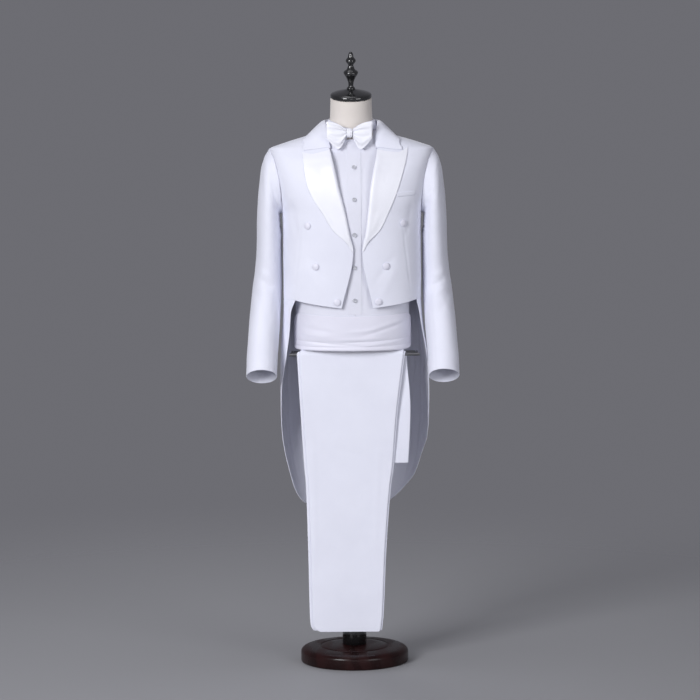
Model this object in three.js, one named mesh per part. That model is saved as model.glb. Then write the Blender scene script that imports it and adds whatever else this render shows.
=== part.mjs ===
// Evening tailcoat suit on a dress form stand, as the pieces that a tailor cuts and sews.
// Millimetres, +Z up, the front faces -Y, the wearer's left is +X, the origin is under the base.
import * as THREE from "three";

const DEG = Math.PI / 180;

// Cloth walls and the clearances between the layers
const SEAM_GAP = 0.3;
const SHIRT_CLEARANCE = 1.5;
const SHIRT_WALL = 1.2;
const SHIRT_FACE = SHIRT_CLEARANCE + SHIRT_WALL;
const COAT_WALL = 2.2;
const LAPEL_WALL = 1.6;
const APPLIED_GAP = 0.6;
const BUTTON_GAP = 0.5;

// The form stand
const BASE_RADIUS = 152;
const BASE_HEIGHT = 48;
const POLE_RADIUS = 15;
const POLE_COLLAR_RADIUS = 34;
const POLE_COLLAR_HEIGHT = 48;
const TORSO_BOTTOM = 918;
// The height at which the form, and all that it wears, is set on its pole
const FORM_SETTING = -20;
const TORSO_INSET = 2.6;
const NECK_TOP = 1612;
const NECK_TILT = 11.5;
const NECK_LEAN = 17;

// The trouser bar and the folded trousers on it
const BAR_Y = -62;
const BAR_Z = 899;
const BAR_RADIUS = 4.25;
const BAR_LEFT_END = 187;
const BAR_RIGHT_END = -177;
const BAR_KNOB_RADIUS = 6.5;
const FOLDED_LEG = 4.5;
const LEG_GAP = 0.4;
const WAISTBAND_HEIGHT = 37;
const TROUSER_WAIST_Z = 593;

// Heights of the coat
const COAT_WAIST_SEAM = 1054;
const WAIST_GAP = 0.6;
const COAT_FRONT_POINT = 1033;
const LAPEL_BREAK = 1190;
const GORGE = 1470;
const TAIL_END = 437;
const ARMHOLE_TOP = 1473;
const ARMHOLE_BOTTOM = 1293;
const ARMHOLE_HALF_DEPTH = 68;
const UNDERARM = 1305;

// Names the columns of a short table
const table = (names, ...rows) =>
  rows.map((row) => Object.fromEntries(names.map((name, i) => [name, row[i]])));

// Half widths and depths of the dress form by height
const FORM = table(
  ["z", "side", "front", "back", "middle", "square", "shift"],
  [918, 157, 104, 99, 0, 2.3, 0],
  [1010, 157, 107, 100, 0, 2.3, 0],
  [1080, 160, 110, 105, 0, 2.3, 0],
  [1150, 168, 115, 112, 0, 2.3, 0],
  [1220, 176, 122, 118, 0, 2.3, 0],
  [1300, 182, 125, 122, 0, 2.3, 0],
  [1360, 187, 118, 120, 0, 2.3, 0],
  [1400, 191, 108, 118, 0, 2.3, 0],
  [1430, 195, 95, 108, 0, 2.3, 0],
  [1450, 193, 85, 98, 0, 2.3, 0],
  [1465, 184, 78, 90, 0, 2.3, 0],
  [1478, 165, 72, 82, -1, 2.25, 0],
  [1490, 142, 68, 75, -2, 2.2, 0],
  [1502, 115, 65.5, 70, -3, 2.15, 0],
  [1512, 90, 64, 66, -3.5, 2.1, 0],
  [1522, 72, 62.5, 63, -4, 2.05, 0],
  [1540, 62, 60.5, 60, -6, 2, 0],
  [1560, 59, 59, 58, -9, 2, 0],
  [1620, 57, 57, 57, -NECK_LEAN, 2, 0],
);

// Half widths and depths of the coat's outer face by height, the tails included
const COAT = table(
  ["z", "side", "front", "back", "middle", "square", "shift"],
  [430, 168, 118, 160, 0, 2.5, 6],
  [500, 186, 120, 160, 0, 2.5, 6],
  [550, 195, 122, 160, 0, 2.5, 6],
  [600, 203, 122, 159, 0, 2.5, 6],
  [650, 207, 122, 158, 0, 2.5, 6],
  [700, 209, 122, 156, 0, 2.5, 6],
  [800, 209, 122, 149, 0, 2.5, 6],
  [850, 208, 122, 143, 0, 2.5, 6],
  [900, 206, 122, 136, 0, 2.5, 5],
  [950, 201, 122, 128, 0, 2.5, 3],
  [1000, 196, 122, 120, 0, 2.5, 1],
  [1054, 193, 124, 116, 0, 2.5, 0],
  [1150, 193, 129, 121, 0, 2.5, 0],
  [1220, 193, 132, 127, 0, 2.5, 0],
  [1293, 194.5, 133, 130, 0, 2.6, 0],
  [1340, 203, 131, 131, 0, 2.9, 0],
  [1380, 211, 127, 131, 0, 3, 0],
  [1420, 219, 118, 128, 0, 3, 0],
  [1445, 224, 107, 120, 0, 2.9, 0],
  [1462, 228, 94, 107, 0, 2.8, 0],
  [1473, 229, 86, 96, 0, 2.7, 0],
  [1483, 205, 81, 89, 0, 2.6, 0],
  [1492, 178, 78, 85, 0, 2.5, 0],
  [1502, 145, 75, 80, 0, 2.4, 0],
  [1511, 113, 73, 76, 0, 2.3, 0],
  [1521, 87, 72, 74, 0, 2.2, 0],
);

// The front edge of each coat front, which is the lapel's roll line above the break
const FRONT_EDGE = table(
  ["z", "right", "left"],
  [1033, -30, 58],
  [1190, 3, 29],
  [1242, -7, 38],
  [1306, -20, 46],
  [1361, -34, 51.5],
  [1421, -47, 62],
  [1475, -61, 72],
  [1521, -74, 74],
);

// The outer edge of each lapel
const LAPEL_EDGE = table(
  ["z", "right", "left"],
  [1190, 1, 31],
  [1215, -15, 44],
  [1251, -53, 78],
  [1298, -81, 101],
  [1339, -108, 119],
  [1380, -124, 133],
  [1462, -135, 154.5],
  [1475, -136, 156],
);

// Heights of the gorge edge across each lapel, from the roll line out to the peak
const GORGE_EDGE = [
  { across: 0, right: GORGE, left: GORGE },
  { across: 1 / 3, right: 1464, left: 1465 },
  { across: 2 / 3, right: 1459, left: 1462 },
  { across: 1, right: 1464, left: 1475 },
];

// Where the front edge of each tail lies round the body, and the seam between skirt and back
const TAIL_EDGE = table(
  ["z", "right", "left", "seam"],
  [437, 150, 163, 170],
  [462, 124, 149, 163],
  [500, 114, 135, 156],
  [550, 108, 120, 150],
  [600, 103, 114, 146],
  [650, 97, 103, 142],
  [700, 92, 95, 138],
  [750, 87, 91, 134],
  [800, 81, 87, 130],
  [850, 73, 84, 126],
  [900, 65, 80, 122],
  [966, 61, 77, 117],
  [1013, 60, 74, 114],
  [1054, 52, 66, 112],
);

// The seams of the side body, from the waist to the armhole
const SIDE_SEAMS = table(
  ["z", "front", "back"],
  [1054, 74, 112],
  [1150, 76, 110],
  [1250, 79, 106],
  [1305, 82, 102],
);

// Rings of a sleeve below the armhole: outer and inner points, middle, half depth and forward pitch
const SLEEVE = table(
  ["topX", "topZ", "innerX", "innerZ", "y", "depth", "pitch"],
  [243, 1446, 200, 1290, 0, 73, 0],
  [252, 1420, 201, 1285, 0, 76, 0],
  [258, 1375, 201, 1279, 0, 78, 0],
  [262, 1332, 200, 1269, 1, 78, 0],
  [265, 1290, 198, 1254, 3, 77, 0],
  [266, 1240, 197, 1234, 6, 75, 0],
  [268, 1185, 196.5, 1185, 10, 72, 0],
  [273, 1130, 196.5, 1130, 14, 69, 2],
  [280, 1085, 197, 1085, 11, 67, 12],
  [284, 1045, 199, 1045, -4, 64, 21],
  [289, 990, 203, 990, -27, 60, 25],
  [293, 930, 207, 930, -53, 56, 26],
  [296, 880, 210, 880, -74, 52, 26],
  [297, 842, 211, 842, -90, 50, 28],
);

// Edges of the folded trousers on each side of the bar
const TROUSER_FRONT = table(
  ["z", "right", "left"],
  [115, -104, 75],
  [120, -117, 78],
  [135, -124, 80],
  [164, -126, 83],
  [340, -129, 91],
  [530, -134, 106],
  [580, -138, 113],
  [730, -147, 125],
  [900, -156, 146],
);
const TROUSER_BACK = table(
  ["z", "right", "left"],
  [593, -132, 154],
  [640, -136, 157],
  [745, -142, 161],
  [900, -150, 150],
);

const SIDES = { right: -1, left: 1 };

const MATERIALS = {
  cloth: { color: 0xf3f3fa, roughness: 0.8 },
  satin: { color: 0xfafaff, roughness: 0.42 },
  shirting: { color: 0xececf4, roughness: 0.75 },
  pearl: { color: 0xf0f0f4, roughness: 0.3 },
  jersey: { color: 0xdcd6cc, roughness: 0.9 },
  black: { color: 0x101012, roughness: 0.25 },
  wood: { color: 0x2d1416, roughness: 0.3 },
  steel: { color: 0x55565a, roughness: 0.35, metalness: 1 },
};

const power = (t, exponent) => Math.sign(t) * Math.abs(t) ** exponent;
const clamp = (t, low, high) => Math.min(high, Math.max(low, t));
const mix = (a, b, t) => a + (b - a) * t;
const smooth = (t) => t * t * (3 - 2 * t);
const span = (count, from = 0, to = 1) =>
  Array.from({ length: count + 1 }, (_, i) => mix(from, to, i / count));

// The value of a table's column at a height, on a curve through the rows that doesn't overshoot
function column(rows, key, z) {
  const last = rows.length - 1;
  if (z <= rows[0].z) return rows[0][key];
  if (z >= rows[last].z) return rows[last][key];
  let i = 0;
  while (z > rows[i + 1].z) i++;
  const slope = (k) => (rows[k + 1][key] - rows[k][key]) / (rows[k + 1].z - rows[k].z);
  const tangent = (k) => {
    if (k === 0) return slope(0);
    if (k === last) return slope(last - 1);
    const [below, above] = [slope(k - 1), slope(k)];
    return below * above <= 0 ? 0 : (2 * below * above) / (below + above);
  };
  const step = rows[i + 1].z - rows[i].z;
  const t = (z - rows[i].z) / step;
  const bend = (t - 1) * t * (t - 1) * step * tangent(i) + t * t * (t - 1) * step * tangent(i + 1);
  return mix(rows[i][key], rows[i + 1][key], smooth(t)) + bend;
}

// A point of a skin: angle 0 is the centre front, 90 the wearer's left side, 180 the centre back
function skinPoint(skin, z, angle) {
  const exponent = 2 / column(skin, "square", z);
  const ahead = Math.cos(angle * DEG);
  const depth = column(skin, ahead > 0 ? "front" : "back", z);
  return new THREE.Vector3(
    column(skin, "shift", z) + column(skin, "side", z) * power(Math.sin(angle * DEG), exponent),
    column(skin, "middle", z) - depth * power(ahead, exponent),
    z,
  );
}

function skinNormal(skin, z, angle) {
  const low = clamp(z - 1, skin[0].z, skin[skin.length - 1].z - 2);
  const up = skinPoint(skin, low + 2, angle).sub(skinPoint(skin, low, angle));
  const round = skinPoint(skin, z, angle + 1).sub(skinPoint(skin, z, angle - 1));
  return round.cross(up).normalize();
}

const lifted = (skin, z, angle, lift) =>
  skinPoint(skin, z, angle).addScaledVector(skinNormal(skin, z, angle), lift);

// The angle at which a skin reaches a given x, on its front half
function angleAt(skin, z, x) {
  const reach = (x - column(skin, "shift", z)) / column(skin, "side", z);
  return Math.asin(power(clamp(reach, -1, 1), column(skin, "square", z) / 2)) / DEG;
}

// The angle at which a skin reaches a given depth, in front of its middle or behind it
function angleAtDepth(skin, z, depth, key) {
  const share = clamp(depth / column(skin, key, z), 0, 1);
  const angle = Math.acos(share ** (column(skin, "square", z) / 2)) / DEG;
  return key === "front" ? angle : 180 - angle;
}

// Geometry from shared points and triangles, turned outwards by its signed volume
function closedGeometry(points, triangles) {
  let volume = 0;
  for (const [a, b, c] of triangles) volume += points[a].dot(points[b].clone().cross(points[c]));
  const geometry = new THREE.BufferGeometry();
  const position = new THREE.Float32BufferAttribute(points.flatMap((p) => p.toArray()), 3);
  geometry.setAttribute("position", position);
  geometry.setIndex(triangles.flatMap(([a, b, c]) => (volume > 0 ? [a, b, c] : [a, c, b])));
  geometry.computeVertexNormals();
  return geometry;
}

// A closed wall between an inner and an outer grid; a round one joins its last column to its first
function wall(inner, outer, round = false) {
  const rows = outer.length;
  const columns = outer[0].length;
  const points = [...outer.flat(), ...inner.flat()];
  const at = (i, j, inside) => (inside ? rows * columns : 0) + i * columns + (j % columns);
  const triangles = [];
  const quad = (a, b, c, d) => triangles.push([a, b, c], [a, c, d]);
  const across = round ? columns : columns - 1;
  for (let j = 0; j < across; j++) {
    for (let i = 0; i < rows - 1; i++) {
      quad(at(i, j), at(i, j + 1), at(i + 1, j + 1), at(i + 1, j));
      quad(at(i, j, true), at(i + 1, j, true), at(i + 1, j + 1, true), at(i, j + 1, true));
    }
    quad(at(0, j, true), at(0, j + 1, true), at(0, j + 1), at(0, j));
    quad(at(rows - 1, j), at(rows - 1, j + 1), at(rows - 1, j + 1, true), at(rows - 1, j, true));
  }
  const last = columns - 1;
  for (let i = 0; i < rows - 1 && !round; i++) {
    quad(at(i, 0), at(i + 1, 0), at(i + 1, 0, true), at(i, 0, true));
    quad(at(i, last, true), at(i + 1, last, true), at(i + 1, last), at(i, last));
  }
  return closedGeometry(points, triangles);
}

// A closed solid through rings of points, capped at both ends
function loft(rings) {
  const columns = rings[0].length;
  const points = rings.flat();
  const triangles = [];
  rings.slice(1).forEach((_, i) => {
    for (let j = 0; j < columns; j++) {
      const [a, b] = [i * columns + j, i * columns + ((j + 1) % columns)];
      triangles.push([a, b, b + columns], [a, b + columns, a + columns]);
    }
  });
  [0, rings.length - 1].forEach((i) => {
    const middle = rings[i].reduce((sum, p) => sum.add(p), new THREE.Vector3()).divideScalar(columns);
    points.push(middle);
    for (let j = 0; j < columns; j++) {
      const [a, b] = [i * columns + j, i * columns + ((j + 1) % columns)];
      triangles.push(i === 0 ? [b, a, points.length - 1] : [a, b, points.length - 1]);
    }
  });
  return closedGeometry(points, triangles);
}

// Draws a grid's edges in by half a seam, so that pieces that share a seam stay apart
function trimmed(grid, cut = SEAM_GAP / 2) {
  const towards = (from, to) => from.clone().addScaledVector(to.clone().sub(from).normalize(), cut);
  const drawn = grid.map((row) => {
    const last = row.length - 1;
    return row.map((p, j) => (j === 0 ? towards(p, row[1]) : j === last ? towards(p, row[last - 1]) : p));
  });
  const top = drawn.length - 1;
  return drawn.map((row, i) =>
    row.map((p, j) => (i === 0 ? towards(p, drawn[1][j]) : i === top ? towards(p, drawn[top - 1][j]) : p)),
  );
}

// A cut piece that lies on a skin: places gives rows of heights and angles, lift its distance from the skin
function cutPiece(skin, places, lift, thickness) {
  const face = (extra) =>
    trimmed(places.map((row) => row.map(({ z, angle }) => lifted(skin, z, angle, lift + extra))));
  return wall(face(0), face(thickness));
}

const suit = new THREE.Group();
const groups = {};
for (const name of ["coat", "shirt", "bow_tie", "cummerbund", "trousers", "form", "stand"]) {
  groups[name] = new THREE.Group();
  groups[name].position.z = name === "stand" ? 0 : FORM_SETTING;
  suit.add(groups[name]);
}

function add(group, name, geometry, material) {
  const mesh = new THREE.Mesh(geometry, new THREE.MeshStandardMaterial(MATERIALS[material]));
  mesh.name = name;
  groups[group].add(mesh);
  return mesh;
}

// A turned solid that stands on its own origin, from radius and height pairs
function turned(profile, segments) {
  const points = profile.map(([radius, height]) => new THREE.Vector2(radius, height));
  return new THREE.LatheGeometry(points, segments).rotateX(Math.PI / 2);
}

// Heights shared by every coat piece, so that neighbours have the same points along a seam
const BODY_ROWS = [1054, 1100, 1145, 1190, 1220, 1251, 1278, UNDERARM];
const ARMHOLE_ROWS = [UNDERARM, 1330, 1360, 1395, 1430, 1456, ARMHOLE_TOP];
const SHOULDER_ROWS = [1483, 1492, 1502, 1511, 1521];
const TAIL_ROWS = [TAIL_END, 462, 500, 550, 600, 650, 700, 750, 800, 850, 900, 966, 1013];

// Half the armhole's opening at a height, fore and aft
function armholeDepth(z) {
  const middle = (ARMHOLE_TOP + ARMHOLE_BOTTOM) / 2;
  const rise = (z - middle) / (ARMHOLE_TOP - middle);
  return ARMHOLE_HALF_DEPTH * Math.sqrt(Math.max(0, 1 - rise * rise));
}

// The edge of a front or back panel towards the side: side seam, then armhole, then shoulder seam
function outerAngle(z, key) {
  if (z <= UNDERARM - 1) return column(SIDE_SEAMS, key, z);
  if (z >= ARMHOLE_TOP) return 90;
  return angleAtDepth(COAT, z, armholeDepth(z), key);
}

// Angles across a coat front: first under the lapel, then out to the side
function frontAngles(z, side) {
  const sign = SIDES[side];
  const inner = column(FRONT_EDGE, side, z);
  const room = column(COAT, "side", z) - Math.abs(inner);
  const lapel = Math.abs(column(LAPEL_EDGE, side, Math.max(z, 1251)) - inner);
  const width = z > GORGE ? Math.min(lapel, 0.45 * room) : z < 1251 ? 42 : lapel;
  const under = span(3).map((t) => angleAt(COAT, z, inner + sign * width * t));
  const outer = sign * outerAngle(z, "front");
  return [...under, ...span(5).slice(1).map((t) => mix(under[3], outer, t))];
}

function coatFront(side) {
  const sign = SIDES[side];
  const corner = sign * column(TAIL_EDGE, side, COAT_WAIST_SEAM);
  const under = frontAngles(COAT_WAIST_SEAM, side).slice(0, 4);
  const seam = sign * outerAngle(COAT_WAIST_SEAM, "front");
  under[0] = angleAt(COAT, COAT_FRONT_POINT, column(FRONT_EDGE, side, COAT_FRONT_POINT));
  const cutaway = [...under, mix(under[3], corner, 0.5), corner];
  const hem = [...cutaway, ...span(3).slice(1).map((t) => mix(corner, seam, t))].map((angle) => {
    const drop = clamp((corner - angle) / (corner - under[0]), 0, 1);
    return { z: mix(COAT_WAIST_SEAM, COAT_FRONT_POINT, drop), angle };
  });
  const heights = [...BODY_ROWS.slice(1), ...ARMHOLE_ROWS.slice(1), ...SHOULDER_ROWS];
  const rows = heights.map((z) => frontAngles(z, side).map((angle) => ({ z, angle })));
  return cutPiece(COAT, [hem, ...rows], -COAT_WALL, COAT_WALL);
}

function sideBody(side) {
  const sign = SIDES[side];
  const rows = BODY_ROWS.map((z) =>
    span(4).map((t) => {
      const top = z === UNDERARM ? mix(ARMHOLE_BOTTOM, UNDERARM, Math.abs(2 * t - 1)) : z;
      const seam = (key) => (z === UNDERARM ? outerAngle(z, key) : column(SIDE_SEAMS, key, z));
      return { z: top, angle: sign * mix(seam("front"), seam("back"), t) };
    }),
  );
  return cutPiece(COAT, rows, -COAT_WALL, COAT_WALL);
}

// The back of the coat runs down into the back half of the tail; the two meet edge to edge at the centre
function coatBack(side) {
  const sign = SIDES[side];
  const heights = [...TAIL_ROWS, ...BODY_ROWS, ...ARMHOLE_ROWS.slice(1), ...SHOULDER_ROWS];
  const rows = heights.map((z) => {
    const start = z < COAT_WAIST_SEAM ? column(TAIL_EDGE, "seam", z) : outerAngle(z, "back");
    return span(5).map((t) => ({ z, angle: sign * mix(start, 180, t) }));
  });
  return cutPiece(COAT, rows, -COAT_WALL, COAT_WALL);
}

function tailSkirt(side) {
  const sign = SIDES[side];
  const rows = [...TAIL_ROWS, COAT_WAIST_SEAM - WAIST_GAP].map((z) =>
    span(5).map((t) => ({
      z,
      angle: sign * mix(column(TAIL_EDGE, side, z), column(TAIL_EDGE, "seam", z), t),
    })),
  );
  return cutPiece(COAT, rows, -COAT_WALL, COAT_WALL);
}

// The sleeve starts along the armhole's own points and hangs from there, hollow and open at the cuff.
// Its forearm seam starts low on the armhole's front and its hindarm seam behind, a little higher.
const FOREARM_SEAM = { z: 1330, key: "front" };
const HINDARM_SEAM = { z: 1360, key: "back" };

function sleeve(side) {
  const sign = SIDES[side];
  const down = [...ARMHOLE_ROWS].reverse();
  const seam = [
    ...down.map((z) => ({ z, key: "front" })),
    { z: ARMHOLE_BOTTOM, key: "bottom" },
    ...ARMHOLE_ROWS.slice(0, -1).map((z) => ({ z, key: "back" })),
  ];
  const middle = (ARMHOLE_TOP + ARMHOLE_BOTTOM) / 2;
  const turns = seam.map(({ z, key }) => {
    const turn = Math.acos(clamp((z - middle) / (ARMHOLE_TOP - middle), -1, 1));
    return key === "back" ? 2 * Math.PI - turn : turn;
  });
  const armhole = seam.map(({ z, key }) => {
    const angle = key === "bottom" || z === ARMHOLE_TOP ? 90 : outerAngle(z, key);
    const p = skinPoint(COAT, z, angle);
    return p.setX(p.x + 1);
  });
  const rings = SLEEVE.map((ring) => {
    const [x, z] = [(ring.topX + ring.innerX) / 2, (ring.topZ + ring.innerZ) / 2];
    const [halfX, halfZ] = [(ring.topX - ring.innerX) / 2, (ring.topZ - ring.innerZ) / 2];
    const [fore, drop] = [Math.cos(ring.pitch * DEG), Math.sin(ring.pitch * DEG)];
    return turns.map((turn) => {
      const [up, ahead] = [Math.cos(turn), -Math.sin(turn) * ring.depth];
      return new THREE.Vector3(x + up * halfX, ring.y + ahead * fore, z + up * halfZ - ahead * drop);
    });
  });
  const outer = [armhole, ...rings].map((ring) => ring.map((p) => p.clone().setX(sign * p.x)));
  const inner = insideOf(outer, COAT_WALL);
  const seamAt = ({ z, key }) => seam.findIndex((point) => point.z === z && point.key === key);
  const [fore, hind] = [seamAt(FOREARM_SEAM), seamAt(HINDARM_SEAM)];
  const panel = (cut) => wall(trimmed(inner.map(cut)), trimmed(outer.map(cut)));
  return {
    top: panel((ring) => [...ring.slice(hind), ...ring.slice(0, fore + 1)]),
    under: panel((ring) => ring.slice(fore, hind + 1)),
  };
}

// A round grid moved inwards by a wall's thickness
function insideOf(grid, thickness) {
  return grid.map((ring, i) => {
    const centre = ring.reduce((sum, p) => sum.add(p), new THREE.Vector3()).divideScalar(ring.length);
    const [below, above] = [grid[Math.max(i - 1, 0)], grid[Math.min(i + 1, grid.length - 1)]];
    return ring.map((p, j) => {
      const next = ring[(j + 1) % ring.length];
      const previous = ring[(j + ring.length - 1) % ring.length];
      const normal = next.clone().sub(previous).cross(above[j].clone().sub(below[j])).normalize();
      if (normal.dot(p.clone().sub(centre)) > 0) normal.negate();
      return p.clone().addScaledVector(normal, thickness);
    });
  });
}

// A lapel lies on the coat front from the roll line to its outer edge
function lapel(side) {
  const heights = [LAPEL_BREAK + 3, 1220, 1251, 1278, 1305, 1330, 1360, 1395, 1430, 1456];
  const rows = heights.map((z) => {
    const [inner, outer] = [column(FRONT_EDGE, side, z), column(LAPEL_EDGE, side, z)];
    return span(3).map((t) => ({ z, angle: angleAt(COAT, z, mix(inner, outer, t)) }));
  });
  const top = GORGE_EDGE.map((point) => {
    const z = point[side];
    const x = mix(column(FRONT_EDGE, side, z), column(LAPEL_EDGE, side, z), point.across);
    return { z, angle: angleAt(COAT, z, x) };
  });
  return cutPiece(COAT, [...rows, top], APPLIED_GAP, LAPEL_WALL);
}

add("coat", "coat_front_right", coatFront("right"), "cloth");
add("coat", "coat_front_left", coatFront("left"), "cloth");
for (const side of ["right", "left"]) {
  add("coat", "coat_side_body_" + side, sideBody(side), "cloth");
  add("coat", "coat_back_" + side, coatBack(side), "cloth");
  add("coat", "coat_tail_skirt_" + side, tailSkirt(side), "cloth");
  const panels = sleeve(side);
  add("coat", "coat_top_sleeve_" + side, panels.top, "cloth");
  add("coat", "coat_under_sleeve_" + side, panels.under, "cloth");
  add("coat", "coat_lapel_" + side, lapel(side), "satin");
}

// The coat collar stands up round the neck, folds over and falls on the shoulders down to the gorge
const COAT_COLLAR = table(
  ["z", "standX", "standY", "standZ", "foldX", "foldY", "foldZ", "edgeZ", "edgeAngle"],
  [0, 64, -76.2, 1474, 67, -84, 1476, 1468, 29],
  [0.2, 66.5, -66.2, 1503, 73, -68, 1514, 1494, 47],
  [0.32, 72.4, -41.2, 1523.2, 75, -44, 1538, 1504, 62],
  [0.45, 80, -13, 1526, 75, -14, 1547, 1509, 80],
  [0.6, 78, 24, 1528, 73, 22, 1549, 1510, 102],
  [0.8, 52, 55.5, 1529, 49, 51.5, 1550, 1511, 134],
  [1, 0, 69.8, 1529, 0, 65, 1551, 1511, 180],
);
const COLLAR_LIFT = 2.6;
const COLLAR_END = { right: -131, left: 139 };

function coatCollar() {
  const half = (side) =>
    span(9).map((t) => {
      const sign = SIDES[side];
      const value = (key) => column(COAT_COLLAR, key, t);
      const gorge = angleAt(COAT, GORGE, COLLAR_END[side]) * sign;
      const shift = (column(FRONT_EDGE, side, GORGE) * sign - value("foldX")) * (1 - t) ** 4;
      const at = (name) => {
        const [x, y, z] = ["X", "Y", "Z"].map((axis) => value(name + axis));
        return new THREE.Vector3(sign * (x + shift), y, z);
      };
      const angle = mix(gorge, value("edgeAngle"), clamp(t / 0.2, 0, 1));
      const edge = lifted(COAT, value("edgeZ"), sign * angle, COLLAR_LIFT);
      const [stand, fold] = [at("stand"), at("fold")];
      const roll = fold.clone().lerp(edge, 0.12).setZ(mix(fold.z, edge.z, 0.06) + 1);
      const fall = fold.clone().lerp(edge, 0.55);
      fall.z += 3 * Math.min(1, 4 * t);
      return [stand, fold, roll, fall, edge];
    });
  const path = [...half("right"), ...half("left").reverse().slice(1)];
  return sheetWall(path, COAT_WALL);
}

// A wall to one side of a free grid of points
function sheetWall(grid, thickness) {
  const top = grid.length - 1;
  const other = grid.map((row, i) =>
    row.map((p, j) => {
      const along = grid[Math.min(i + 1, top)][j].clone().sub(grid[Math.max(i - 1, 0)][j]);
      const across = row[Math.min(j + 1, row.length - 1)].clone().sub(row[Math.max(j - 1, 0)]);
      return p.clone().addScaledVector(along.cross(across).normalize(), thickness);
    }),
  );
  return wall(grid, other);
}

function breastWelt() {
  const { x, width, z, height, slant } = { x: 149, width: 50, z: 1348, height: 11, slant: 4 };
  const rows = span(1).map((up) =>
    span(3).map((t) => {
      const level = z + (up - 0.5) * height + (t - 0.5) * slant;
      return { z: level, angle: angleAt(COAT, level, x + (t - 0.5) * width) };
    }),
  );
  return cutPiece(COAT, rows, APPLIED_GAP, 1.4);
}

// A covered or pearl button on its shank, domed on top
function button(radius, height) {
  const profile = [
    [0, 0],
    [0.55 * radius, 0],
    [radius, 0.35 * height],
    [0.9 * radius, 0.7 * height],
    [0.5 * radius, 0.95 * height],
    [0, height],
  ];
  return turned(profile, 12);
}

function addButton(group, name, { skin, x, z, radius, height, lift, material }) {
  const angle = angleAt(skin, z, x);
  const mesh = add(group, name, button(radius, height), material);
  mesh.position.copy(lifted(skin, z, angle, lift));
  mesh.quaternion.setFromUnitVectors(new THREE.Vector3(0, 0, 1), skinNormal(skin, z, angle));
}

const COAT_BUTTONS = {
  right: table(["x", "z", "lift"], [-122, 1262, -0.4], [-101, 1149, 0], [-42, 1050, 0.5]),
  left: table(["x", "z", "lift"], [141, 1268, 0.5], [94, 1150, 0], [72, 1051, 0.5]),
};
const SHIRT_BUTTONS = table(["x", "z"], [7, 1420], [7, 1333], [7, 1237], [7, 1146], [7, 1054]);

// The shirt lies on the form; its rows are shared by the fronts and the back
const SHIRT_ROWS = [925, 975, 1030, 1085, 1150, 1220, UNDERARM];
const SHIRT_ARMHOLE_TOP = 1465;
const SHIRT_ARMHOLE_ROWS = [1322, 1345, 1385, 1420, 1446, SHIRT_ARMHOLE_TOP];
const SHIRT_SHOULDER_ROWS = [1478, 1490, 1502, 1512, 1521];
const SHIRT_ARMHOLE_HALF_DEPTH = 55;
const PLACKET_X = 7;
const PLACKET_WIDTH = 38;
const SHIRT_OPENING_GAP = 1;
const PLACKET_GAP = 0.5;

// The neck seam of the shirt, lower in front
const shirtNeckline = (angle) => mix(1498, 1521, smooth(clamp((Math.abs(angle) - 15) / 45, 0, 1)));

// Draws the shoulder rows of the shirt down to its neckline
function shirtHeight(z, angle) {
  const [start, end] = [SHIRT_ARMHOLE_TOP, SHIRT_SHOULDER_ROWS[4]];
  return z <= start ? z : mix(start, shirtNeckline(angle), (z - start) / (end - start));
}

function shirtOuterAngle(z, key) {
  if (z <= UNDERARM || z >= SHIRT_ARMHOLE_TOP) return 90;
  const middle = (UNDERARM + SHIRT_ARMHOLE_TOP) / 2;
  const rise = (z - middle) / (middle - UNDERARM);
  return angleAtDepth(FORM, z, SHIRT_ARMHOLE_HALF_DEPTH * (1 - rise * rise), key);
}

function shirtPiece(sign, start, key, columns) {
  const heights = [...SHIRT_ROWS, ...SHIRT_ARMHOLE_ROWS, ...SHIRT_SHOULDER_ROWS];
  const rows = heights.map((z) =>
    span(columns).map((t) => {
      const angle = mix(start(z), sign * shirtOuterAngle(z, key), t);
      return { z: shirtHeight(z, angle), angle };
    }),
  );
  return cutPiece(FORM, rows, SHIRT_CLEARANCE, SHIRT_WALL);
}

function shirtBack() {
  const heights = [...SHIRT_ROWS, ...SHIRT_ARMHOLE_ROWS, ...SHIRT_SHOULDER_ROWS];
  const rows = heights.map((z) => {
    const outer = shirtOuterAngle(z, "back");
    return span(12).map((t) => ({ z, angle: mix(outer, 360 - outer, t) }));
  });
  return cutPiece(FORM, rows, SHIRT_CLEARANCE, SHIRT_WALL);
}

function placket() {
  const heights = [1014, 1050, ...SHIRT_ROWS.slice(3), ...SHIRT_ARMHOLE_ROWS, 1478, 1490];
  const rows = heights.map((z) =>
    span(2).map((t) => ({ z, angle: angleAt(FORM, z, PLACKET_X + (t - 0.5) * PLACKET_WIDTH) })),
  );
  return cutPiece(FORM, rows, SHIRT_FACE + PLACKET_GAP, SHIRT_WALL);
}

// The shirt collar stands up the neck, folds, and its leaf falls to two points under the bow
const SHIRT_COLLAR = table(
  ["z", "angle", "foldZ", "leafZ", "leafAngle", "flare"],
  [0, 5, 1541, 1467, 9, 0],
  [0.1, 14, 1542, 1485, 14, 0.4],
  [0.2, 25, 1544, 1506, 25, 0.8],
  [0.3, 40, 1546, 1521, 40, 1.2],
  [0.5, 76, 1549, 1529, 76, 1.8],
  [0.75, 128, 1552, 1530, 128, 2.6],
  [1, 180, 1553, 1530, 180, 3],
);
const STAND_LIFT = 3;
const LEAF_LIFT = 4.4;

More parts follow.
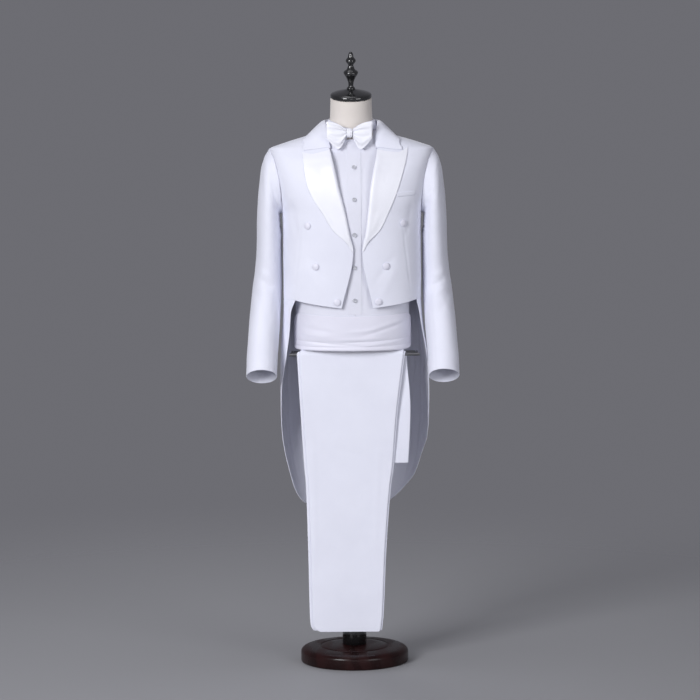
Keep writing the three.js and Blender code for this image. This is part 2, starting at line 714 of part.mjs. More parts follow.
function shirtCollar() {
  const half = (sign) =>
    span(10).map((t) => {
      const value = (key) => column(SHIRT_COLLAR, key, t);
      const at = (z, angle, lift) => lifted(FORM, z, sign * angle, lift);
      const share = (u) =>
        ["Z", "Angle"].map((key) => mix(value(key === "Z" ? "foldZ" : "angle"), value("leaf" + key), u));
      return [
        at(shirtNeckline(value("angle")) + 1.5, value("angle"), STAND_LIFT),
        at(value("foldZ"), value("angle"), STAND_LIFT),
        at(value("foldZ") + 2, value("angle"), 3.6),
        at(...share(0.12), LEAF_LIFT + 0.5),
        at(...share(0.5), LEAF_LIFT + value("flare")),
        at(...share(1), LEAF_LIFT),
      ];
    });
  return sheetWall([...half(-1), ...half(1).reverse()], SHIRT_WALL);
}

// A ring of a soft solid across the x axis, with folds running along it; lean moves its foot forward
function softRing(x, y, z, { thick, up, down, folds, depth, lean = 0 }) {
  return span(16).slice(0, 16).map((t) => {
    const turn = t * 2 * Math.PI;
    const wave = 1 + depth * Math.cos(folds * turn);
    const rise = power(Math.sin(turn), 0.8);
    return new THREE.Vector3(
      x,
      y + thick * wave * power(Math.cos(turn), 0.8) - lean * Math.max(0, -rise),
      z + (rise > 0 ? up : down) * rise,
    );
  });
}

const BOW = { x: -5, y: -90, z: 1517, wingStart: 8, wing: 55.4 };
const BOW_KNOT = { y: -85.6, halfWidth: 7.5, halfHeight: 13, halfDepth: 12.9 };
// Sections of a wing from the knot outwards; its lower lobe hangs nearer the knot than its upper one
const BOW_WING = table(
  ["z", "thick", "up", "down"],
  [0, 4, 9, 9],
  [0.15, 5.5, 15, 27],
  [0.3, 6.5, 21, 41],
  [0.45, 6.8, 25, 45],
  [0.65, 7, 29, 37],
  [0.93, 5.5, 32, 19],
  [1, 3.5, 31, 15],
);
const BOW_LEAN = 5;

function bowWing(sign) {
  const rings = [0, 0.14, 0.3, 0.48, 0.65, 0.82, 0.93, 1].map((t) => {
    const [thick, up, down] = ["thick", "up", "down"].map((key) => column(BOW_WING, key, t));
    const x = BOW.x + sign * (BOW.wingStart + t * BOW.wing);
    const lean = BOW_LEAN * smooth(clamp(t / 0.3, 0, 1));
    return softRing(x, BOW.y + 1, BOW.z, { thick, up, down, lean, folds: 4, depth: 0.08 });
  });
  return loft(rings);
}

function bowKnot() {
  const shape = [
    [-1, 0.55],
    [-0.8, 0.95],
    [0, 1],
    [0.8, 0.95],
    [1, 0.55],
  ];
  const rings = shape.map(([t, size]) => {
    const [thick, tall] = [BOW_KNOT.halfDepth * size, BOW_KNOT.halfHeight * size];
    const x = BOW.x + t * BOW_KNOT.halfWidth;
    return softRing(x, BOW_KNOT.y, BOW.z, { thick, up: tall, down: tall, folds: 2, depth: 0.02 });
  });
  return loft(rings);
}

// The cummerbund wraps the waist; its soft pleats overlap upwards and it narrows behind
const CUMMERBUND = {
  bottom: 913,
  top: 1009,
  backTop: 985,
  backBottom: 925,
  pleats: 4,
  wall: 2,
  pleatDepth: 1.6,
};

function cummerbund() {
  const across = span(28).slice(0, 28);
  const levels = span(2 * CUMMERBUND.pleats);
  const grid = (face) =>
    levels.map((v, i) =>
      across.map((t) => {
        const angle = 360 * t;
        const behind = smooth(clamp((Math.abs(180 - angle) - 60) / -60 + 1, 0, 1));
        const sides = 6 * Math.abs(Math.sin(angle * DEG));
        const low = mix(CUMMERBUND.bottom, CUMMERBUND.backBottom, behind);
        const high = mix(CUMMERBUND.top + sides, CUMMERBUND.backTop, behind);
        const pleat = i % 2 === 1 ? CUMMERBUND.pleatDepth * (1 - 0.7 * behind) : 0;
        const lift = SHIRT_FACE + 1.6 + face * (CUMMERBUND.wall + pleat);
        return lifted(FORM, mix(low, high, v), angle, lift);
      }),
    );
  return wall(grid(0), grid(1), true);
}

// Trousers folded over the bar: a leg's path runs from the front hem up, over the bar and down behind it
function legPath(radius, frontEnd, backEnd) {
  const front = [frontEnd, 130, 165, 260, 400, 560, 730, 870].filter((z) => z >= frontEnd);
  const down = [870, 760, 690, backEnd];
  const draw = (z) => 6 * smooth(clamp((BAR_Z - z) / 300, 0, 1));
  return [
    ...front.map((z) => ({ y: BAR_Y - radius + draw(z), z, behind: false })),
    ...span(6).map((t) => ({
      y: BAR_Y - radius * Math.cos(t * Math.PI),
      z: BAR_Z + radius * Math.sin(t * Math.PI),
      behind: t > 0.5,
    })),
    ...down.map((z) => ({ y: BAR_Y + radius - 0.3 * draw(z), z, behind: true })),
  ];
}

function trouserLeg(inside, insetRight, insetLeft, frontEnd, backEnd) {
  const layer = (radius) =>
    legPath(radius, frontEnd, backEnd).map(({ y, z, behind }) => {
      const edges = behind ? TROUSER_BACK : TROUSER_FRONT;
      const over = clamp((z - BAR_Z) / 10 + 1, 0, 1);
      const level = Math.min(z, 900);
      const edge = (side, inset) => {
        const hanging = column(edges, side, level) + inset;
        const top = (column(TROUSER_FRONT, side, 900) + column(TROUSER_BACK, side, 900)) / 2 + inset;
        return mix(hanging, top, over * 0.5);
      };
      const [right, left] = [edge("right", insetRight), edge("left", -insetLeft)];
      return span(5).map((t) => new THREE.Vector3(mix(right, left, t), y, z));
    });
  return wall(layer(inside), layer(inside + FOLDED_LEG));
}

function waistband(inside) {
  const top = TROUSER_WAIST_Z + WAISTBAND_HEIGHT;
  const layer = (radius) =>
    [TROUSER_WAIST_Z, top].map((z) => {
      const y = BAR_Y + radius - 0.3 * 6;
      const [right, left] = ["right", "left"].map((side) => column(TROUSER_BACK, side, z));
      return span(4).map((t) => new THREE.Vector3(mix(right, left, t), y, z));
    });
  return wall(layer(inside), layer(inside + FOLDED_LEG));
}

// The dress form: one smooth closed torso with its neck, the neck's top tilted forward
function torso() {
  const covered = [TORSO_BOTTOM, ...SHIRT_ROWS.slice(1), ...SHIRT_ARMHOLE_ROWS, ...SHIRT_SHOULDER_ROWS];
  const neck = [1540, 1565, 1590, NECK_TOP];
  const rings = [...covered, ...neck].map((z) => {
    const tilt = Math.tan(NECK_TILT * DEG) * smooth(clamp((z - 1540) / (NECK_TOP - 1540), 0, 1));
    return span(24).slice(0, 24).map((t) => {
      const hidden = TORSO_INSET * smooth(clamp((1522 - z) / 40, 0, 1));
      const p = lifted(FORM, z, 360 * t, -hidden);
      return p.setZ(p.z + (p.y - column(FORM, "middle", z)) * tilt);
    });
  });
  return loft(rings);
}

const NECK_CAP_HEIGHT = 25;
const NECK_CAP = [
  [0, 0],
  [54, 0],
  [57.5, 3],
  [57.5, 9],
  [54, 13],
  [40, 18],
  [22, 22],
  [12, NECK_CAP_HEIGHT],
  [0, NECK_CAP_HEIGHT],
];
const FINIAL = [
  [0, 0],
  [11.5, 0],
  [11, 4],
  [7, 8],
  [8, 20],
  [14, 34],
  [20, 44],
  [20, 49],
  [13, 54],
  [9, 62],
  [7, 68],
  [13, 76],
  [14, 82],
  [9, 88],
  [7, 96],
  [4, 103],
  [0, 105],
];
const BASE = [
  [0, 0],
  [BASE_RADIUS - 4, 0],
  [BASE_RADIUS, 4],
  [BASE_RADIUS, 27],
  [BASE_RADIUS - 4, 36],
  [BASE_RADIUS - 16, 41],
  [BASE_RADIUS - 52, 44],
  [BASE_RADIUS - 56, 41.5],
  [BASE_RADIUS - 60, 44],
  [BASE_RADIUS - 90, BASE_HEIGHT],
  [0, BASE_HEIGHT],
];
const ringProfile = (inner, outer, height, bevel) => [
  [inner, 0],
  [outer, 0],
  [outer, height - bevel],
  [outer - bevel, height],
  [inner, height],
  [inner, 0],
];

function cylinder(group, name, radius, from, to, material = "steel", segments = 12) {
  const along = to.clone().sub(from);
  const geometry = new THREE.CylinderGeometry(radius, radius, along.length(), segments);
  const mesh = add(group, name, geometry, material);
  mesh.position.copy(from.clone().lerp(to, 0.5));
  mesh.quaternion.setFromUnitVectors(new THREE.Vector3(0, 1, 0), along.normalize());
}

function addStand() {
  const [clampRadius, clampHeight] = [26, 22];
  add("form", "form_torso", torso(), "jersey");
  add("stand", "form_base", turned(BASE, 32), "wood");
  const poleStart = new THREE.Vector3(0, 0, BASE_HEIGHT + SEAM_GAP);
  const poleEnd = new THREE.Vector3(0, 0, TORSO_BOTTOM + FORM_SETTING - SEAM_GAP);
  cylinder("stand", "form_pole", POLE_RADIUS, poleStart, poleEnd, "black", 16);
  const bore = POLE_RADIUS + 0.4;
  const collar = turned(ringProfile(bore, POLE_COLLAR_RADIUS, POLE_COLLAR_HEIGHT, 5), 20);
  add("stand", "form_pole_collar", collar, "black").position.z = BASE_HEIGHT + SEAM_GAP;
  const neckTop = new THREE.Vector3(0, -NECK_LEAN, NECK_TOP + SEAM_GAP);
  const turnings = [
    { name: "form_neck_cap", profile: NECK_CAP, lift: SEAM_GAP },
    { name: "form_finial", profile: FINIAL, lift: NECK_CAP_HEIGHT + 2 * SEAM_GAP },
  ];
  for (const { name, profile, lift } of turnings) {
    const mesh = add("form", name, turned(profile, 20), "black");
    mesh.position.copy(neckTop);
    mesh.rotation.x = NECK_TILT * DEG;
    mesh.translateZ(lift);
  }
  const clampRing = turned(ringProfile(bore, clampRadius, clampHeight, 2), 20);
  add("form", "trouser_bar_clamp", clampRing, "steel").position.z = BAR_Z - clampHeight / 2;
  const barAt = (x, y) => new THREE.Vector3(x, y, BAR_Z);
  cylinder("form", "trouser_bar", BAR_RADIUS, barAt(BAR_RIGHT_END, BAR_Y), barAt(BAR_LEFT_END, BAR_Y));
  const reach = BAR_RADIUS + SEAM_GAP;
  for (const [side, end] of [["right", BAR_RIGHT_END], ["left", BAR_LEFT_END]]) {
    const x = end - SIDES[side] * BAR_KNOB_RADIUS;
    cylinder("form", "trouser_bar_arm_" + side, BAR_RADIUS, barAt(x, BAR_Y + reach), barAt(x, BAR_RADIUS));
    const inner = SIDES[side] * (clampRadius + SEAM_GAP);
    const outer = barAt(x - SIDES[side] * reach, 0);
    cylinder("form", "trouser_bar_cross_" + side, BAR_RADIUS, barAt(inner, 0), outer);
  }
}

add("coat", "coat_collar", coatCollar(), "cloth");
add("coat", "coat_breast_welt", breastWelt(), "cloth");
for (const side of ["right", "left"]) {
  COAT_BUTTONS[side].forEach(({ x, z, lift }, i) =>
    addButton("coat", "coat_button_" + side + "_" + (i + 1), {
      skin: COAT, x, z, lift, radius: 9.8, height: 5, material: "satin",
    }),
  );
}
const openingEdge = (x) => (z) => angleAt(FORM, z, x);
const shirtFrontRight = shirtPiece(-1, openingEdge(PLACKET_X), "front", 6);
const shirtFrontLeft = shirtPiece(1, openingEdge(PLACKET_X + SHIRT_OPENING_GAP), "front", 6);
add("shirt", "shirt_front_right", shirtFrontRight, "shirting");
add("shirt", "shirt_front_left", shirtFrontLeft, "shirting");
add("shirt", "shirt_back", shirtBack(), "shirting");
add("shirt", "shirt_placket", placket(), "shirting");
add("shirt", "shirt_collar", shirtCollar(), "shirting");
const shirtButtonLift = SHIRT_FACE + PLACKET_GAP + SHIRT_WALL + BUTTON_GAP;
SHIRT_BUTTONS.forEach(({ x, z }, i) =>
  addButton("shirt", "shirt_button_" + (i + 1), {
    skin: FORM, x, z, radius: 6, height: 3, lift: shirtButtonLift, material: "pearl",
  }),
);
add("bow_tie", "bow_tie_wing_right", bowWing(-1), "satin");
add("bow_tie", "bow_tie_wing_left", bowWing(1), "satin");
add("bow_tie", "bow_tie_knot", bowKnot(), "satin");
add("cummerbund", "cummerbund", cummerbund(), "satin");
const nearLeg = BAR_RADIUS + 2 * LEG_GAP + FOLDED_LEG;
const farLeg = BAR_RADIUS + LEG_GAP;
const legEnd = TROUSER_WAIST_Z + WAISTBAND_HEIGHT + SEAM_GAP;
add("trousers", "trouser_leg_right", trouserLeg(nearLeg, 8, 5, 115, legEnd), "cloth");
add("trousers", "trouser_leg_left", trouserLeg(farLeg, 0, 0, 118, legEnd), "cloth");
add("trousers", "trouser_waistband_right", waistband(nearLeg), "cloth");
add("trousers", "trouser_waistband_left", waistband(farLeg), "cloth");
addStand();

export default suit;
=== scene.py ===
import math

import bpy
import numpy as np
from mathutils import Matrix, Vector


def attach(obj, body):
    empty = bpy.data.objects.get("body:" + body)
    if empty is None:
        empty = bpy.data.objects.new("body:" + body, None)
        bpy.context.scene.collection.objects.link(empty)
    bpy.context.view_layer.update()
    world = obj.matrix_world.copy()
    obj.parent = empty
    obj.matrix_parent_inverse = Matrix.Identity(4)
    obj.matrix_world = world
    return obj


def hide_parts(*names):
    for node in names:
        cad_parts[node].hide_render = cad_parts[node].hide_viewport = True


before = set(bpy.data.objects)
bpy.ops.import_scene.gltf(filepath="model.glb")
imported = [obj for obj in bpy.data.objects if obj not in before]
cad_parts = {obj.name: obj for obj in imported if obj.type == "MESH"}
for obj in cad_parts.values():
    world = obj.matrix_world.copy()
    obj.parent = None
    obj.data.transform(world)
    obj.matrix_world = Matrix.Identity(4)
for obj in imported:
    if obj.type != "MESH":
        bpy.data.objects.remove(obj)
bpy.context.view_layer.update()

# Lengths below are in millimetres, as a tailor measures them; meshes are written in metres
MM = 0.001

# The camera stands where the photographer stood, 8 m in front and a little above the middle
CAMERA_PLACE = (-0.0075, -8.0, 1.67)
CAMERA_PITCH = math.radians(5.6)
CAMERA_ROLL = math.radians(-0.39)
CAMERA_LENS = 146.9

# Cloth walls and the clearances between the layers
SHIRT_CLEARANCE = 1.5
SHIRT_WALL = 1.2
SHIRT_FACE = SHIRT_CLEARANCE + SHIRT_WALL
COAT_WALL = 2.2
LAPEL_WALL = 1.6
APPLIED_GAP = 0.6
BUTTON_GAP = 0.5
PLACKET_GAP = 0.5
SEAM_GAP = 0.3

# On cloth, the row of points next to a cut edge lies this far inside it
RIM_ROW = 1.2
# How far a rounded rim stands out, as a share of the wall
RIM_BULGE = 0.32
# The distance to a rim that is written on pieces without one
NO_RIM = 50.0
# A panel's usual width, which decides how far from its sides the first points lie
PANEL_WIDTH = 200

# Heights and sizes of the coat
WAIST_SEAM = 1054
WAIST_GAP = 0.6
FRONT_POINT = 1033
POINT_FADE = 1100
LAPEL_BREAK = 1190
GORGE = 1470
TAIL_END = 437
COAT_NECK = 1521
ARMHOLE_TOP = 1473
ARMHOLE_BOTTOM = 1293
ARMHOLE_MIDDLE = (ARMHOLE_TOP + ARMHOLE_BOTTOM) / 2
ARMHOLE_HALF_HEIGHT = ARMHOLE_TOP - ARMHOLE_MIDDLE
ARMHOLE_HALF_DEPTH = 68
UNDERARM = 1305

# The form and the trouser bar. All heights are measured before the form, with all that it wears,
# is set on its pole at FORM_SETTING
FORM_SETTING = -20
TORSO_BOTTOM = 918
NECK_TOP = 1612
NECK_TILT = 11.5
NECK_LEAN = 17
BAR_Y = -62
BAR_Z = 899
BAR_RADIUS = 4.25
FOLDED_LEG = 4.5
LEG_GAP = 0.4
WAISTBAND_HEIGHT = 37
TROUSER_WAIST_Z = 593

SIDES = {"right": -1, "left": 1}


def curve(knots, values, where):
    """A smooth curve through values at the knots that doesn't overshoot, read at where."""
    knots, values = np.asarray(knots, float), np.asarray(values, float)
    where = np.clip(where, knots[0], knots[-1])
    steps = np.diff(knots)
    spread = steps.reshape((-1,) + (1,) * (values.ndim - 1))
    slopes = np.diff(values, axis=0) / spread
    tangents = np.zeros_like(values)
    tangents[0], tangents[-1] = slopes[0], slopes[-1]
    below, above = slopes[:-1], slopes[1:]
    together = below + above
    same = below * above > 0
    tangents[1:-1] = np.where(same, 2 * below * above / np.where(same, together, 1), 0)
    i = np.clip(np.searchsorted(knots, where, side="right") - 1, 0, len(knots) - 2)
    t = (where - knots[i]) / steps[i]
    step = steps[i]
    if values.ndim > 1:
        t = t[..., None]
        step = step[..., None]
    eased = t * t * (3 - 2 * t)
    bend = t * (t - 1) ** 2 * step * tangents[i] + t * t * (t - 1) * step * tangents[i + 1]
    return values[i] * (1 - eased) + values[i + 1] * eased + bend


class Table:
    """A short table whose columns are read as smooth curves of its first one."""

    def __init__(self, names, *rows):
        rows = np.array(rows, float)
        self.at = rows[:, 0]
        self.columns = {name: rows[:, i] for i, name in enumerate(names)}

    def get(self, name, where):
        return curve(self.at, self.columns[name], np.asarray(where, float))


# Half widths and depths of the dress form by height
FORM = Table(
    ["z", "side", "front", "back", "middle", "square", "shift"],
    [918, 157, 104, 99, 0, 2.3, 0],
    [1010, 157, 107, 100, 0, 2.3, 0],
    [1080, 160, 110, 105, 0, 2.3, 0],
    [1150, 168, 115, 112, 0, 2.3, 0],
    [1220, 176, 122, 118, 0, 2.3, 0],
    [1300, 182, 125, 122, 0, 2.3, 0],
    [1360, 187, 118, 120, 0, 2.3, 0],
    [1400, 191, 108, 118, 0, 2.3, 0],
    [1430, 195, 95, 108, 0, 2.3, 0],
    [1450, 193, 85, 98, 0, 2.3, 0],
    [1465, 184, 78, 90, 0, 2.3, 0],
    [1478, 165, 72, 82, -1, 2.25, 0],
    [1490, 142, 68, 75, -2, 2.2, 0],
    [1502, 115, 65.5, 70, -3, 2.15, 0],
    [1512, 90, 64, 66, -3.5, 2.1, 0],
    [1522, 72, 62.5, 63, -4, 2.05, 0],
    [1540, 62, 60.5, 60, -6, 2, 0],
    [1560, 59, 59, 58, -9, 2, 0],
    [1620, 57, 57, 57, -NECK_LEAN, 2, 0],
)

# Half widths and depths of the coat's outer face by height, the tails included
COAT = Table(
    ["z", "side", "front", "back", "middle", "square", "shift"],
    [430, 168, 118, 160, 0, 2.5, 6],
    [500, 186, 120, 160, 0, 2.5, 6],
    [550, 195, 122, 160, 0, 2.5, 6],
    [600, 203, 122, 159, 0, 2.5, 6],
    [650, 207, 122, 158, 0, 2.5, 6],
    [700, 209, 122, 156, 0, 2.5, 6],
    [800, 209, 122, 149, 0, 2.5, 6],
    [850, 208, 122, 143, 0, 2.5, 6],
    [900, 206, 122, 136, 0, 2.5, 5],
    [950, 201, 122, 128, 0, 2.5, 3],
    [1000, 196, 122, 120, 0, 2.5, 1],
    [1054, 193, 124, 116, 0, 2.5, 0],
    [1150, 193, 129, 121, 0, 2.5, 0],
    [1220, 193, 132, 127, 0, 2.5, 0],
    [1293, 194.5, 133, 130, 0, 2.6, 0],
    [1340, 203, 131, 131, 0, 2.9, 0],
    [1380, 211, 127, 131, 0, 3, 0],
    [1420, 219, 118, 128, 0, 3, 0],
    [1445, 224, 107, 120, 0, 2.9, 0],
    [1462, 228, 94, 107, 0, 2.8, 0],
    [1473, 229, 86, 96, 0, 2.7, 0],
    [1483, 205, 81, 89, 0, 2.6, 0],
    [1492, 178, 78, 85, 0, 2.5, 0],
    [1502, 145, 75, 80, 0, 2.4, 0],
    [1511, 113, 73, 76, 0, 2.3, 0],
    [1521, 87, 72, 74, 0, 2.2, 0],
)

# The front edge of each coat front, which is the lapel's roll line above the break
FRONT_EDGE = Table(
    ["z", "right", "left"],
    [1033, -30, 58],
    [1190, 3, 29],
    [1242, -7, 38],
    [1306, -20, 46],
    [1361, -34, 51.5],
    [1421, -47, 62],
    [1475, -61, 72],
    [1521, -74, 74],
)

# The outer edge of each lapel
LAPEL_EDGE = Table(
    ["z", "right", "left"],
    [1190, 1, 31],
    [1215, -15, 44],
    [1251, -53, 78],
    [1298, -81, 101],
    [1339, -108, 119],
    [1380, -124, 133],
    [1462, -135, 154.5],
    [1475, -136, 156],
)

# Heights of the gorge edge across each lapel, from the roll line out to the peak
GORGE_EDGE = Table(
    ["across", "right", "left"],
    [0, 1470, 1470],
    [0.33, 1464, 1465],
    [0.67, 1459, 1462],
    [1, 1464, 1475],
)

# Where the front edge of each tail lies round the body, and the seam between skirt and back
TAIL_EDGE = Table(
    ["z", "right", "left", "seam"],
    [437, 150, 163, 170],
    [462, 124, 149, 163],
    [500, 114, 135, 156],
    [550, 108, 120, 150],
    [600, 103, 114, 146],
    [650, 97, 103, 142],
    [700, 92, 95, 138],
    [750, 87, 91, 134],
    [800, 81, 87, 130],
    [850, 73, 84, 126],
    [900, 65, 80, 122],
    [966, 61, 77, 117],
    [1013, 60, 74, 114],
    [1054, 52, 66, 112],
)

# The seams of the side body, from the waist to the armhole
SIDE_SEAMS = Table(
    ["z", "front", "back"],
    [1054, 74, 112],
    [1150, 76, 110],
    [1250, 79, 106],
    [1305, 82, 102],
)

# Rings of a sleeve below the armhole: outer and inner points, middle, half depth and forward pitch
SLEEVE = Table(
    ["ring", "topX", "topZ", "innerX", "innerZ", "y", "depth", "pitch"],
    [1, 243, 1446, 200, 1290, 0, 73, 0],
    [2, 252, 1420, 201, 1285, 0, 76, 0],
    [3, 258, 1375, 201, 1279, 0, 78, 0],
    [4, 262, 1332, 200, 1269, 1, 78, 0],
    [5, 265, 1290, 198, 1254, 3, 77, 0],
    [6, 266, 1240, 197, 1234, 6, 75, 0],
    [7, 268, 1185, 196.5, 1185, 10, 72, 0],
    [8, 273, 1130, 196.5, 1130, 14, 69, 2],
    [9, 280, 1085, 197, 1085, 11, 67, 12],
    [10, 284, 1045, 199, 1045, -4, 64, 21],
    [11, 289, 990, 203, 990, -27, 60, 25],
    [12, 293, 930, 207, 930, -53, 56, 26],
    [13, 296, 880, 210, 880, -74, 52, 26],
    [14, 297, 842, 211, 842, -90, 50, 28],
)

# Edges of the folded trousers on each side of the bar, in front of it and behind
TROUSER_FRONT = Table(
    ["z", "right", "left"],
    [115, -104, 75],
    [120, -117, 78],
    [135, -124, 80],
    [164, -126, 83],
    [340, -129, 91],
    [530, -134, 106],
    [580, -138, 113],
    [730, -147, 125],
    [900, -156, 146],
)
TROUSER_BACK = Table(
    ["z", "right", "left"],
    [593, -132, 154],
    [640, -136, 157],
    [745, -142, 161],
    [900, -150, 150],
)

# The coat collar stands round the neck, folds over and falls on the shoulders to the gorge
COAT_COLLAR = Table(
    ["t", "standX", "standY", "standZ", "foldX", "foldY", "foldZ", "edgeZ", "edgeAngle"],
    [0, 64, -76.2, 1474, 67, -84, 1476, 1468, 29],
    [0.2, 66.5, -66.2, 1503, 73, -68, 1514, 1494, 47],
    [0.32, 72.4, -41.2, 1523.2, 75, -44, 1538, 1504, 62],
    [0.45, 80, -13, 1526, 75, -14, 1547, 1509, 80],
    [0.6, 78, 24, 1528, 73, 22, 1549, 1510, 102],
    [0.8, 52, 55.5, 1529, 49, 51.5, 1550, 1511, 134],
    [1, 0, 69.8, 1529, 0, 65, 1551, 1511, 180],
)
COLLAR_LIFT = 2.6
COLLAR_END = {"right": -131, "left": 139}

# The shirt collar stands up the neck and its leaf falls to two points under the bow
SHIRT_COLLAR = Table(
    ["t", "angle", "foldZ", "leafZ", "leafAngle", "flare"],
    [0, 5, 1528, 1467, 9, 0],
    [0.1, 14, 1529, 1485, 14, 0.4],
    [0.2, 25, 1533, 1506, 25, 0.8],
    [0.3, 40, 1541, 1521, 40, 1.2],
    [0.5, 76, 1549, 1529, 76, 1.8],
    [0.75, 128, 1552, 1530, 128, 2.6],
    [1, 180, 1553, 1530, 180, 3],
)
STAND_LIFT = 3
LEAF_LIFT = 4.4

SHIRT_BOTTOM = 925
SHIRT_ARMHOLE_TOP = 1465
SHIRT_NECK = 1521
SHIRT_ARMHOLE_HALF_DEPTH = 55
PLACKET_X = 7
PLACKET_WIDTH = 38
PLACKET_WALL = 0.7
PLACKET_BOTTOM = 1014
PLACKET_TOP = 1490

COAT_BUTTONS = {
    "right": [(-122, 1262, -0.4), (-101, 1149, 0), (-42, 1050, 0.5)],
    "left": [(141, 1268, 0.5), (94, 1150, 0), (72, 1051, 0.5)],
}
COAT_BUTTON_RADIUS = 9.8
COAT_BUTTON_HEIGHT = 5
SHIRT_BUTTON_HEIGHTS = [1420, 1333, 1237, 1146, 1054]
SHIRT_BUTTON_RADIUS = 6
SHIRT_BUTTON_HEIGHT = 3

BOW_X, BOW_Y, BOW_Z = -5, -90, 1517
BOW_WING_START, BOW_WING_LENGTH = 8, 55.4
BOW_LEAN = 5
BOW_KNOT_Y = -85.6
BOW_KNOT_HALF_WIDTH, BOW_KNOT_HALF_HEIGHT, BOW_KNOT_HALF_DEPTH = 7.5, 13, 12.9
BOW_WING = Table(
    ["t", "thick", "up", "down"],
    [0, 4, 9, 9],
    [0.15, 5.5, 15, 27],
    [0.3, 6.5, 21, 41],
    [0.45, 6.8, 25, 45],
    [0.65, 7, 29, 37],
    [0.93, 5.5, 32, 19],
    [1, 3.5, 31, 15],
)


def power(t, exponent):
    return np.sign(t) * np.abs(t) ** exponent


def mix(a, b, t):
    return a + (b - a) * t


def smooth(t):
    t = np.clip(t, 0, 1)
    return t * t * (3 - 2 * t)


def skin_points(skin, z, angle):
    """Points of a skin: angle 0 is the centre front, 90 the wearer's left, 180 the centre back."""
    z, angle = np.broadcast_arrays(np.asarray(z, float), np.radians(angle))
    exponent = 2 / skin.get("square", z)
    ahead = np.cos(angle)
    depth = np.where(ahead > 0, skin.get("front", z), skin.get("back", z))
    x = skin.get("shift", z) + skin.get("side", z) * power(np.sin(angle), exponent)
    y = skin.get("middle", z) - depth * power(ahead, exponent)
    return np.stack([x, y, z], axis=-1)


def unit(vectors):
    return vectors / np.maximum(np.linalg.norm(vectors, axis=-1, keepdims=True), 1e-9)


def skin_normals(skin, z, angle):
    z, angle = np.broadcast_arrays(np.asarray(z, float), np.asarray(angle, float))
    low = np.clip(z - 1, skin.at[0], skin.at[-1] - 2)
    up = skin_points(skin, low + 2, angle) - skin_points(skin, low, angle)
    around = skin_points(skin, z, angle + 1) - skin_points(skin, z, angle - 1)
    return unit(np.cross(around, up))


def lifted(skin, z, angle, lift):
    lift = np.asarray(lift, float)
    return skin_points(skin, z, angle) + skin_normals(skin, z, angle) * lift[..., None]


def angle_at(skin, z, x):
    """The angle at which a skin reaches a given x, on its front half."""
    reach = np.clip((x - skin.get("shift", z)) / skin.get("side", z), -1, 1)
    return np.degrees(np.arcsin(power(reach, skin.get("square", z) / 2)))


def angle_at_depth(skin, z, depth, key):
    share = np.clip(depth / skin.get(key, z), 0, 1)
    angle = np.degrees(np.arccos(share ** (skin.get("square", z) / 2)))
    return angle if key == "front" else 180 - angle


def places(count, size, rim=RIM_ROW):
    """Even places from 0 to 1 along a cloth of that size, with one more close to each edge."""
    edge = rim / size
    return np.concatenate([[0], np.linspace(edge, 1 - edge, count), [1]])


def heights(step, *levels):
    """Heights from the first level to the last that hit each level, about a step apart."""
    parts = [[levels[0]]]
    for low, high in zip(levels, levels[1:]):
        count = max(1, round((high - low) / step))
        parts.append(np.linspace(low, high, count + 1)[1:])
    rows = np.concatenate(parts)
    return np.concatenate([[rows[0], rows[0] + RIM_ROW], rows[1:-1], [rows[-1] - RIM_ROW, rows[-1]]])


def across(skin, z, start, end, count):
    """Angles from start to end on each row, evenly spaced along the cloth."""
    fine = np.linspace(0, 1, 160)
    angles = start[:, None] + (end - start)[:, None] * fine
    points = skin_points(skin, z[:, None], angles)
    length = np.cumsum(np.linalg.norm(np.diff(points, axis=1), axis=2), axis=1)
    length = np.concatenate([np.zeros((len(z), 1)), length], axis=1)
    wanted = places(count, PANEL_WIDTH)
    return np.array([np.interp(wanted * s[-1], s, a) for s, a in zip(length, angles)])


def grid_normals(grid, closed=False):
    """Normals of a grid of points; those of a closed tube point outwards."""
    if not closed:
        return unit(np.cross(np.gradient(grid, axis=1), np.gradient(grid, axis=0)))
    along = np.roll(grid, -1, axis=1) - np.roll(grid, 1, axis=1)
    normals = unit(np.cross(along, np.gradient(grid, axis=0)))
    inwards = (normals * (grid - grid.mean(axis=1, keepdims=True))).sum() < 0
    return -normals if inwards else normals


def ring_faces(first, rows, columns, foot=None, head=None, loop=False):
    """Faces between rings of points, with those that close its two ends on a point."""
    faces = []
    top = first + (rows - 1) * columns
    for j in range(columns):
        k = (j + 1) % columns
        if foot is not None:
            faces.append([foot, first + k, first + j])
        for i in range(rows if loop else rows - 1):
            low, high = first + i * columns, first + (i + 1) % rows * columns
            faces.append([low + j, low + k, high + k, high + j])
        if head is not None:
            faces.append([top + j, top + k, head])
    return faces


def normals_to_back(grid, column, row):
    """Normals of an open grid, on the side that faces back at one of its points."""
    normals = grid_normals(grid)
    return -normals if normals[column, row, 1] < 0 else normals


def lengths_along(grid, axis):
    steps = np.linalg.norm(np.diff(grid, axis=axis), axis=2)
    pad = [(0, 0), (0, 0)]
    pad[axis] = (1, 0)
    return np.pad(np.cumsum(steps, axis=axis), pad)


def creases(x, z, table):
    """How far cloth is raised by soft creases: rows of two end points, half width and height."""
    raised = np.zeros(np.broadcast(x, z).shape)
    for x0, z0, x1, z1, width, height in table:
        along = np.array([x1 - x0, z1 - z0], float)
        length = np.hypot(*along)
        along /= length
        at = (x - x0) * along[0] + (z - z0) * along[1]
        off = (x - x0) * along[1] - (z - z0) * along[0]
        fade = smooth((at + 0.15 * length) / (0.4 * length)) * smooth((1.15 * length - at) / (0.4 * length))
        raised += height * fade * np.exp(-((off / width) ** 2))
    return raised


